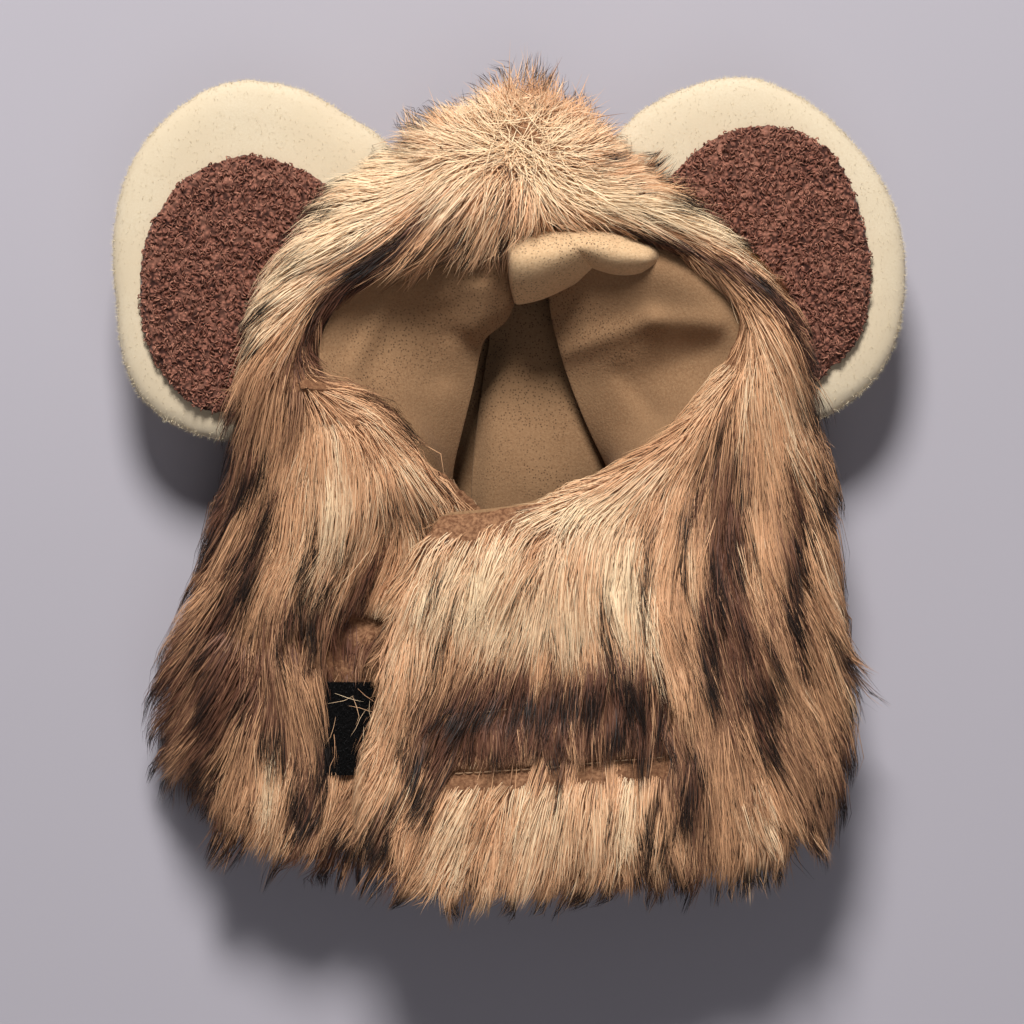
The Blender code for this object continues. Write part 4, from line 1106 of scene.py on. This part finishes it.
def gathered(paths, locks, mine, hold, on_top, chance):
    """The hairs drawn towards their locks, those of the streaks lifted, each with a bend of its own."""
    paths = paths + (locks.paths[mine] - paths) * RISE * hold
    paths[:, :, 2] += 1.7 * MM * on_top[:, None] * RISE[:, :, 0]
    bend = np.sin(np.linspace(0, math.pi, STRAND_STEPS + 1))[None, :, None]
    paths = paths + chance.normal(0, 0.4 * MM, (STRANDS, 1, 3)) * bend
    paths[:, :, 2] = np.maximum(paths[:, :, 2], 0.6 * MM)
    return paths


def make_pile(skin, material):
    """The long pile, rooted on the backing in tufts and smaller locks, in six pieces by where it grows."""
    chance = np.random.default_rng(PILE_SEED)
    around = Surroundings(skin)
    faces, areas, face_normals, points = outer_faces(skin)
    vertex_normals = normals_of(skin)
    facing_up = face_normals[:, 2]
    weights = areas * np.where(facing_up > 0.15, 1.0, np.where(facing_up > -0.4, 0.7, 0.12))
    roots, normals = scattered(faces, weights, points, vertex_normals, STRANDS, chance)
    spots, spot_normals = scattered(faces, areas, points, vertex_normals, ROOT_SPOTS, chance)
    locks = grown_locks(around, spots, spot_normals, chance)

    mine = nearest(roots, locks.roots)[0]
    under = chance.random(STRANDS) < UNDERCOAT_SHARE
    paths, kept = grown_hairs(around, roots, normals, locks, mine, under, chance)
    drawn, field, bands = coat_pattern(paths, roots, grown_streaks(around, spots, spot_normals, chance))
    in_spike = locks.spiked[mine] & ~under
    wish = np.where(in_spike, 0.9, black_tip_share(drawn, field, bands))
    guard = (chance.random(STRANDS) < wish) & ~under

    tight, loose = chance.uniform(0.6, 0.9, STRANDS), chance.uniform(0.08, 0.4, STRANDS)
    hold = np.where(under, 0.1, np.where(in_spike, tight, loose + 0.25 * wish))[:, None, None]
    on_top = np.clip(np.abs(drawn) + np.abs(field), 0, 1) * ~under
    paths = gathered(paths, locks, mine, hold, on_top, chance)
    share = clear_share(paths, locks.obeys[mine], chance)

    # the bands carry the tone bands' painted shade and painted light into each hair's tone
    dark = BASE_TONE + bands + 0.35 * drawn + 0.3 * field + locks.tone[mine]
    tone = np.clip(dark + chance.normal(0, 0.10, STRANDS) + np.where(under, 0.08, 0.0), 0.02, 0.98)
    tones = np.where(guard & (share > 0.6), 0.5 + 0.46 * tone + 0.02, 0.46 * tone + 0.02)
    widths = HAIR_WIDTH * chance.uniform(0.7, 1.3, STRANDS) * np.where(under, 1.15, 1.0)
    facing = unit(normals + chance.normal(0, 0.35, normals.shape))

    px, py = to_pixels(roots)
    alive = share * kept > 0.15
    down = normals[:, 2] < 0.15
    middle = (px >= 430) & (px < 690)
    parts = {
        "mane_crown": ~down & (py < 330),
        "mane_left": ~down & (py >= 330) & (px < 430),
        "mane_flap": ~down & (py >= 330) & middle & (py < 700),
        "mane_hem": ~down & middle & (py >= 700),
        "mane_right": ~down & (py >= 330) & (px >= 690),
        "mane_back": down,
    }
    for name, chosen in parts.items():
        strips = []
        for lot, places in ((under, 3), (~under, 4)):
            picked = chosen & alive & lot
            shown = along_path(paths[picked], share[picked], places)
            strips.append(hair_strips(shown, facing[picked], widths[picked], tones[picked]))
        hair_piece(name, strips, material)


def fuzz(name, piece, count, length, width, material, chance, lean, top=1.0):
    """Short pile over a piece: hairs that stand on it, fewer on its upper face where top is below 1."""
    points, faces = points_of(piece), triangles_of(piece)
    vertex_normals = normals_of(piece)
    upright = vertex_normals[faces].mean(axis=1)[:, 2]
    weights = areas_and_normals(points, faces)[0] * np.where(upright > 0.7, top, 1.0)
    roots, normals = scattered(faces, weights, points, vertex_normals, count, chance)
    tilt = unit(normals + chance.normal(0, lean, roots.shape))
    tips = roots + tilt * (length * chance.uniform(0.6, 1.2, count))[:, None]
    tips[:, 2] = np.maximum(tips[:, 2], 0.5 * MM)
    half = unit(np.cross(tilt, chance.normal(0, 1, roots.shape))) * (width * 0.5)
    shape = np.stack([roots - half, roots + half, tips], axis=1).astype(np.float32)
    low, high = FUZZ_TONES
    uv = np.empty((count, 3, 2), np.float32)
    uv[..., 0] = np.clip(low + (high - low) * chance.random(count), 0.02, 0.98)[:, None]
    uv[..., 1] = np.array([0.04, 0.04, 0.96])[None]
    mesh_of_hairs(name, shape, np.arange(count * 3, dtype=np.int32).reshape(-1, 3), uv, material)


def fuzz_material(name, root, first, second):
    """Short pile whose hairs vary between two colours, darker at the root as painted shade."""
    made, start, shader = new_material(name, 0.7, 0.2)
    run, along = hair_run(start)
    hair = run.ramp(0.1, 0.9).blend(first, second)
    # darker towards the root: painted shade at the base of the pile
    feed(shader, "Base Color", along.ramp(0.0, 0.7, 0.8, 0.0).blend(hair, root))
    return made


def make_ear(side, plush, boucle, plush_hair, boucle_hair):
    """A stuffed plush ear with its curled brown patch."""
    chance = np.random.default_rng(7 if side == "left" else 8)
    ear = remeshed(copy_of("ear_" + side, "ear_plush_" + side, plush), 1.5 * MM, 10)
    fuzz("ear_nap_" + side, ear, 22000, 1.2 * MM, 0.12 * MM, plush_hair, chance, 0.6, 0.12)
    patch = remeshed(copy_of("ear_patch_" + side, "ear_boucle_" + side, boucle), 0.75 * MM, 3)
    points, normals = points_of(patch), normals_of(patch)
    upper = np.clip(normals[:, 2] * 1.5, 0, 1)
    spots = points[chance.choice(len(points), 2600)]
    bumps = np.maximum(0.0, 1 - (nearest(points, spots)[1] / (1.0 * MM)) ** 2)
    move_points(patch, points + normals * (bumps * upper * 0.75 * MM)[:, None])
    curls("ear_curls_" + side, patch, 2300, boucle_hair, chance)


def curls(name, patch, count, material, chance):
    """Small loops of yarn standing on the patch's upper face."""
    points, faces = points_of(patch), triangles_of(patch)
    areas, face_normals = areas_and_normals(points, faces)
    weights = areas * (face_normals[:, 2] > 0.35)
    roots, normals = scattered(faces, weights, points, normals_of(patch), count, chance)
    rings, sides = 5, 3
    turn = np.linspace(0.15, 1.0, rings) * math.pi * 1.55
    shape = np.empty((count, rings, sides, 3))
    first = unit(np.cross(normals, chance.normal(0, 1, roots.shape)))
    lean = unit(normals + chance.normal(0, 0.55, roots.shape))
    radius = (chance.uniform(0.45, 0.85, count) * MM)[:, None]
    for ring, angle in enumerate(turn):
        centre = roots + (first * math.cos(angle) + lean * math.sin(angle)) * radius + lean * radius * 0.25
        outward = first * math.cos(angle) + lean * math.sin(angle)
        beside = unit(np.cross(first, lean))
        for corner in range(sides):
            phase = 2 * math.pi * corner / sides
            shape[:, ring, corner] = centre + (outward * math.cos(phase) + beside * math.sin(phase)) * 0.26 * MM
    pattern = []
    for ring in range(rings - 1):
        for corner in range(sides):
            a = ring * sides + corner
            b = ring * sides + (corner + 1) % sides
            pattern.append((a, b, b + sides, a + sides))
    corners = (np.arange(count)[:, None, None] * rings * sides + np.array(pattern)[None]).reshape(-1, 4)
    made = mesh_of(name, shape.reshape(-1, 3), corners, material)
    layer = made.data.uv_layers.new(name="OFBake")
    per_curl = len(pattern) * 4
    uv = np.empty((count, per_curl, 2), np.float32)
    uv[..., 0] = np.clip(chance.random(count), 0.04, 0.96)[:, None]
    height = (np.array(pattern) // sides) / (rings - 1)
    uv[..., 1] = (0.04 + 0.92 * np.sin(height.reshape(-1) * math.pi * 0.5))[None]
    layer.data.foreach_set("uv", uv.ravel())


def spline(points, count):
    """A smooth run of points through the given ones."""
    points = np.asarray(points, float)
    last = len(points) - 1
    padded = np.vstack([2 * points[0] - points[1], points, 2 * points[-1] - points[-2]])
    found = []
    for place in np.linspace(0, last, count):
        cell = min(int(place), last - 1)
        t = place - cell
        a, b, c, d = padded[cell : cell + 4]
        square, cube = (2 * a - 5 * b + 4 * c - d) * t**2, (3 * b - a - 3 * c + d) * t**3
        found.append(0.5 * ((2 * b) + (c - a) * t + square + cube))
    return np.array(found)


def arc_length(lines):
    """The mean length of the lines in an array of points."""
    return float(np.linalg.norm(np.diff(lines, axis=1), axis=2).sum(axis=1).mean())


def fleece_sheet(name, table, across, along, material, ripple, seed, folds=0.0):
    """A sheet of fleece through a table of points, with soft ripples and its own thickness."""
    rows = [[(*at(px, py), height * MM) for px, py, height in row] for row in table]
    runs = np.array([spline(row, across) for row in rows])
    grid = np.array([spline(runs[:, column], along) for column in range(across)]).transpose(1, 0, 2)
    chance = np.random.default_rng(seed)
    u, v = np.meshgrid(np.linspace(0, 1, across), np.linspace(0, 1, along))
    lift = np.zeros_like(u)
    for _ in range(7):
        a, b, phase = chance.uniform(-5, 5), chance.uniform(2, 9), chance.uniform(0, 6.28)
        lift += np.sin(a * u * 2 + b * v * 2 + phase)
    fade = np.sin(np.clip(u, 0.02, 0.98) * math.pi) ** 0.5
    px, py = to_pixels(grid.reshape(-1, 3))
    grid[..., 2] += lift * fade * ripple / 7 * 2
    grid[..., 2] += folds * MM * band_sum(LINING_BANDS, px, py).reshape(u.shape)
    points = grid.reshape(-1, 3)
    faces = []
    for row in range(along - 1):
        for column in range(across - 1):
            a = row * across + column
            faces.append((a, a + 1, a + 1 + across, a + across))
    made = mesh_of(name, points, faces, material)
    if sum(face.normal.z for face in made.data.polygons) < 0:
        made.data.flip_normals()
    wall = made.modifiers.new("wall", "SOLIDIFY")
    wall.thickness = FLEECE_THICKNESS
    wall.offset = -1
    edge = made.modifiers.new("edge", "BEVEL")
    edge.width = 0.45 * MM
    edge.segments = 2
    edge.limit_method = "ANGLE"
    apply_modifiers(made)
    arc_length(grid.transpose(1, 0, 2))
    return made


def make_lining(material, lit):
    """The fleece lining: its wall round the hollow, and the loose folds that show in the opening. The wall,
    folds and back take the fleece darkened as painted shade; the hem and its fold take a paler copy as painted
    light.
    """
    wall = copy_of("lining", "lining_wall", material)
    round_off = wall.modifiers.new("round", "SUBSURF")
    round_off.levels = 2
    round_off.render_levels = 2
    apply_modifiers(wall)
    for name, node, table, seed in (
        ("lining_fold_l", "lining_fold_left", LEFT_FOLD, 3),
        ("lining_fold_r", "lining_fold_right", RIGHT_FOLD, 5),
    ):
        fold = fleece_sheet(name, table, 56, 80, material, 0.8 * MM, seed, 1.0)
        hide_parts(node)
    fleece_sheet("lining_back", TONGUE, 40, 60, material, 0.8 * MM, 9)
    fleece_sheet("lining_hem", HEM_ROLL, 40, 60, lit, 0.5 * MM, 12)
    fleece_sheet("lining_hem_fold", HEM_FOLD, 30, 40, lit, 0.3 * MM, 14)


def make_tapes(hook, loop):
    """The hook tape and the loop tape under the flap, each given its material."""
    for node, look in (("hook_tape", hook), ("loop_tape", loop)):
        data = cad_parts[node].data
        for index in range(max(1, len(data.materials))):
            if len(data.materials):
                data.materials[index] = look
            else:
                data.materials.append(look)


def make_hooks():
    """The stiff little hooks that stand on the hook tape."""
    chance = np.random.default_rng(23)
    hair = fuzz_material("tape_hook", (0.004, 0.004, 0.004), (0.006, 0.006, 0.007), (0.05, 0.048, 0.05))
    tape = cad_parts["hook_tape"]
    fuzz("tape_hooks", tape, 7000, 1.1 * MM, 0.16 * MM, hair, chance, 0.45)


def make_caught_hairs(material):
    """Loose hairs of the pile caught on the hooks."""
    chance = np.random.default_rng(29)
    spots = chance.uniform((334, 672), (372, 760), (CAUGHT_HAIRS, 2))
    x, y = at(spots[:, 0], spots[:, 1])
    roots = np.stack([x, y, np.full(CAUGHT_HAIRS, TAPE_HEIGHT)], axis=1)
    turn = chance.normal(-math.pi / 2, 0.5, CAUGHT_HAIRS)
    paths = [roots]
    for _ in range(4):
        turn = turn + chance.normal(0, 0.35, CAUGHT_HAIRS)
        run = np.stack([np.cos(turn), np.sin(turn), chance.normal(0, 0.25, CAUGHT_HAIRS)], axis=1)
        paths.append(paths[-1] + run * 2.4 * MM)
    paths = np.stack(paths, axis=1)
    paths[:, :, 2] = np.clip(paths[:, :, 2], TAPE_HEIGHT - 0.3 * MM, TAPE_HEIGHT + 1.4 * MM)
    up = np.tile((0.0, 0.0, 1.0), (CAUGHT_HAIRS, 1))
    widths = chance.uniform(0.09, 0.14, CAUGHT_HAIRS) * MM
    shown = along_path(paths, np.ones(CAUGHT_HAIRS), 4)
    strips = hair_strips(shown, up, widths, chance.uniform(0.03, 0.3, CAUGHT_HAIRS))
    hair_piece("caught_hairs", [strips], material)


def make_stitches(skin, material):
    """Dashes of thread along the stitched rectangle's rows, each a short tube that dips at both ends."""
    tree = tree_of(points_of(skin), triangles_of(skin))
    points, faces = [], []
    shares = (0.1, 0.3, 0.5, 0.7, 0.9)
    for start, end in zip(STITCH_ROW, STITCH_ROW[1:]):
        start, end = np.array(at(*start)), np.array(at(*end))
        count = int(np.linalg.norm(end - start) / STITCH_STEP)
        run = (end - start) / count
        beside = np.array([-run[1], run[0]]) / np.linalg.norm(run)
        for index in range(count):
            base = len(points)
            for share in shares:
                x, y = start + run * (index + share)
                height = tree.ray_cast(Vector((x, y, 0.2)), Vector((0, 0, -1)))[0].z
                height += (0.3 + 0.7 * math.sin(math.pi * share)) * MM
                for turn in range(THREAD_SIDES):
                    angle = 2 * math.pi * turn / THREAD_SIDES
                    side = beside * math.cos(angle) * THREAD_RADIUS
                    points.append((x + side[0], y + side[1], height + math.sin(angle) * THREAD_RADIUS))
            for ring in range(len(shares) - 1):
                for turn in range(THREAD_SIDES):
                    first = base + ring * THREAD_SIDES
                    a, b = first + turn, first + (turn + 1) % THREAD_SIDES
                    faces.append((a, b, b + THREAD_SIDES, a + THREAD_SIDES))
    mesh_of("stitches", points, faces, material)


def make_stage():
    bpy.ops.mesh.primitive_plane_add(size=4.0, location=(0, 0, 0))
    floor = bpy.context.active_object
    floor.name = "table_top"
    floor.data.materials.append(floor_material())


def area_light(name, place, target, size, power, colour):
    data = bpy.data.lights.new(name, "AREA")
    data.shape = "DISK"
    data.size = size
    data.energy = power
    data.color = colour
    lamp = linked(name, data)
    lamp.location = place
    lamp.rotation_euler = (Vector(target) - Vector(place)).to_track_quat("-Z", "Y").to_euler()


def make_light():
    world = bpy.data.worlds.new("soft_room")
    bpy.context.scene.world = world
    world.use_nodes = True
    sky = world.node_tree.nodes["Background"].inputs
    sky["Color"].default_value = (0.95, 0.93, 1.0, 1.0)
    sky["Strength"].default_value = 0.105
    area_light("window", (-0.1, 1.12, 1.18), (0, 0, 0.02), 0.5, 35, (1.0, 0.985, 0.97))
    area_light("ceiling", (0.3, -0.7, 1.6), (0, 0, 0.02), 1.2, 3.4, (0.97, 0.97, 1.0))


def make_camera():
    x, y = at(*FRAME_MIDDLE_PX)
    data = bpy.data.cameras.new("camera")
    data.sensor_width = 36
    data.lens = 36 * CAMERA_REACH / (FRAME_PX * PIXEL)
    data.clip_start = 0.01
    eye = linked("camera", data)
    eye.location = (x, y, FUR_HEIGHT + CAMERA_REACH)
    bpy.context.scene.camera = eye


def build():
    skin = make_skin(skin_material())
    pile = pile_material()
    make_pile(skin, pile)
    plush, boucle = plush_material(), boucle_material()
    plush_hair = fuzz_material("ear_nap", (0.66, 0.55, 0.36), (0.72, 0.61, 0.41), (0.79, 0.70, 0.50))
    boucle_hair = fuzz_material("ear_curl", (0.06, 0.02, 0.013), (0.24, 0.09, 0.06), (0.46, 0.21, 0.14))
    for side in ("left", "right"):
        make_ear(side, plush, boucle, plush_hair, boucle_hair)
    # one fleece in two copies: a darker one as painted shade deep in the hollow, a paler one as painted light
    # on the hem
    shaded_fleece = fleece_material(
        "fleece_lining", (0.29, 0.168, 0.086), (0.245, 0.135, 0.068), (0.33, 0.196, 0.103)
    )
    lit_fleece = fleece_material("fleece_hem_lit", (0.66, 0.44, 0.25), (0.57, 0.365, 0.20), (0.72, 0.50, 0.29))
    make_lining(shaded_fleece, lit_fleece)
    make_tapes(hook_material(), loop_material())
    make_hooks()
    make_caught_hairs(pile)
    make_stitches(skin, thread_material())
    make_stage()
    make_light()
    make_camera()
    bpy.context.scene.view_settings.view_transform = "Standard"


build()
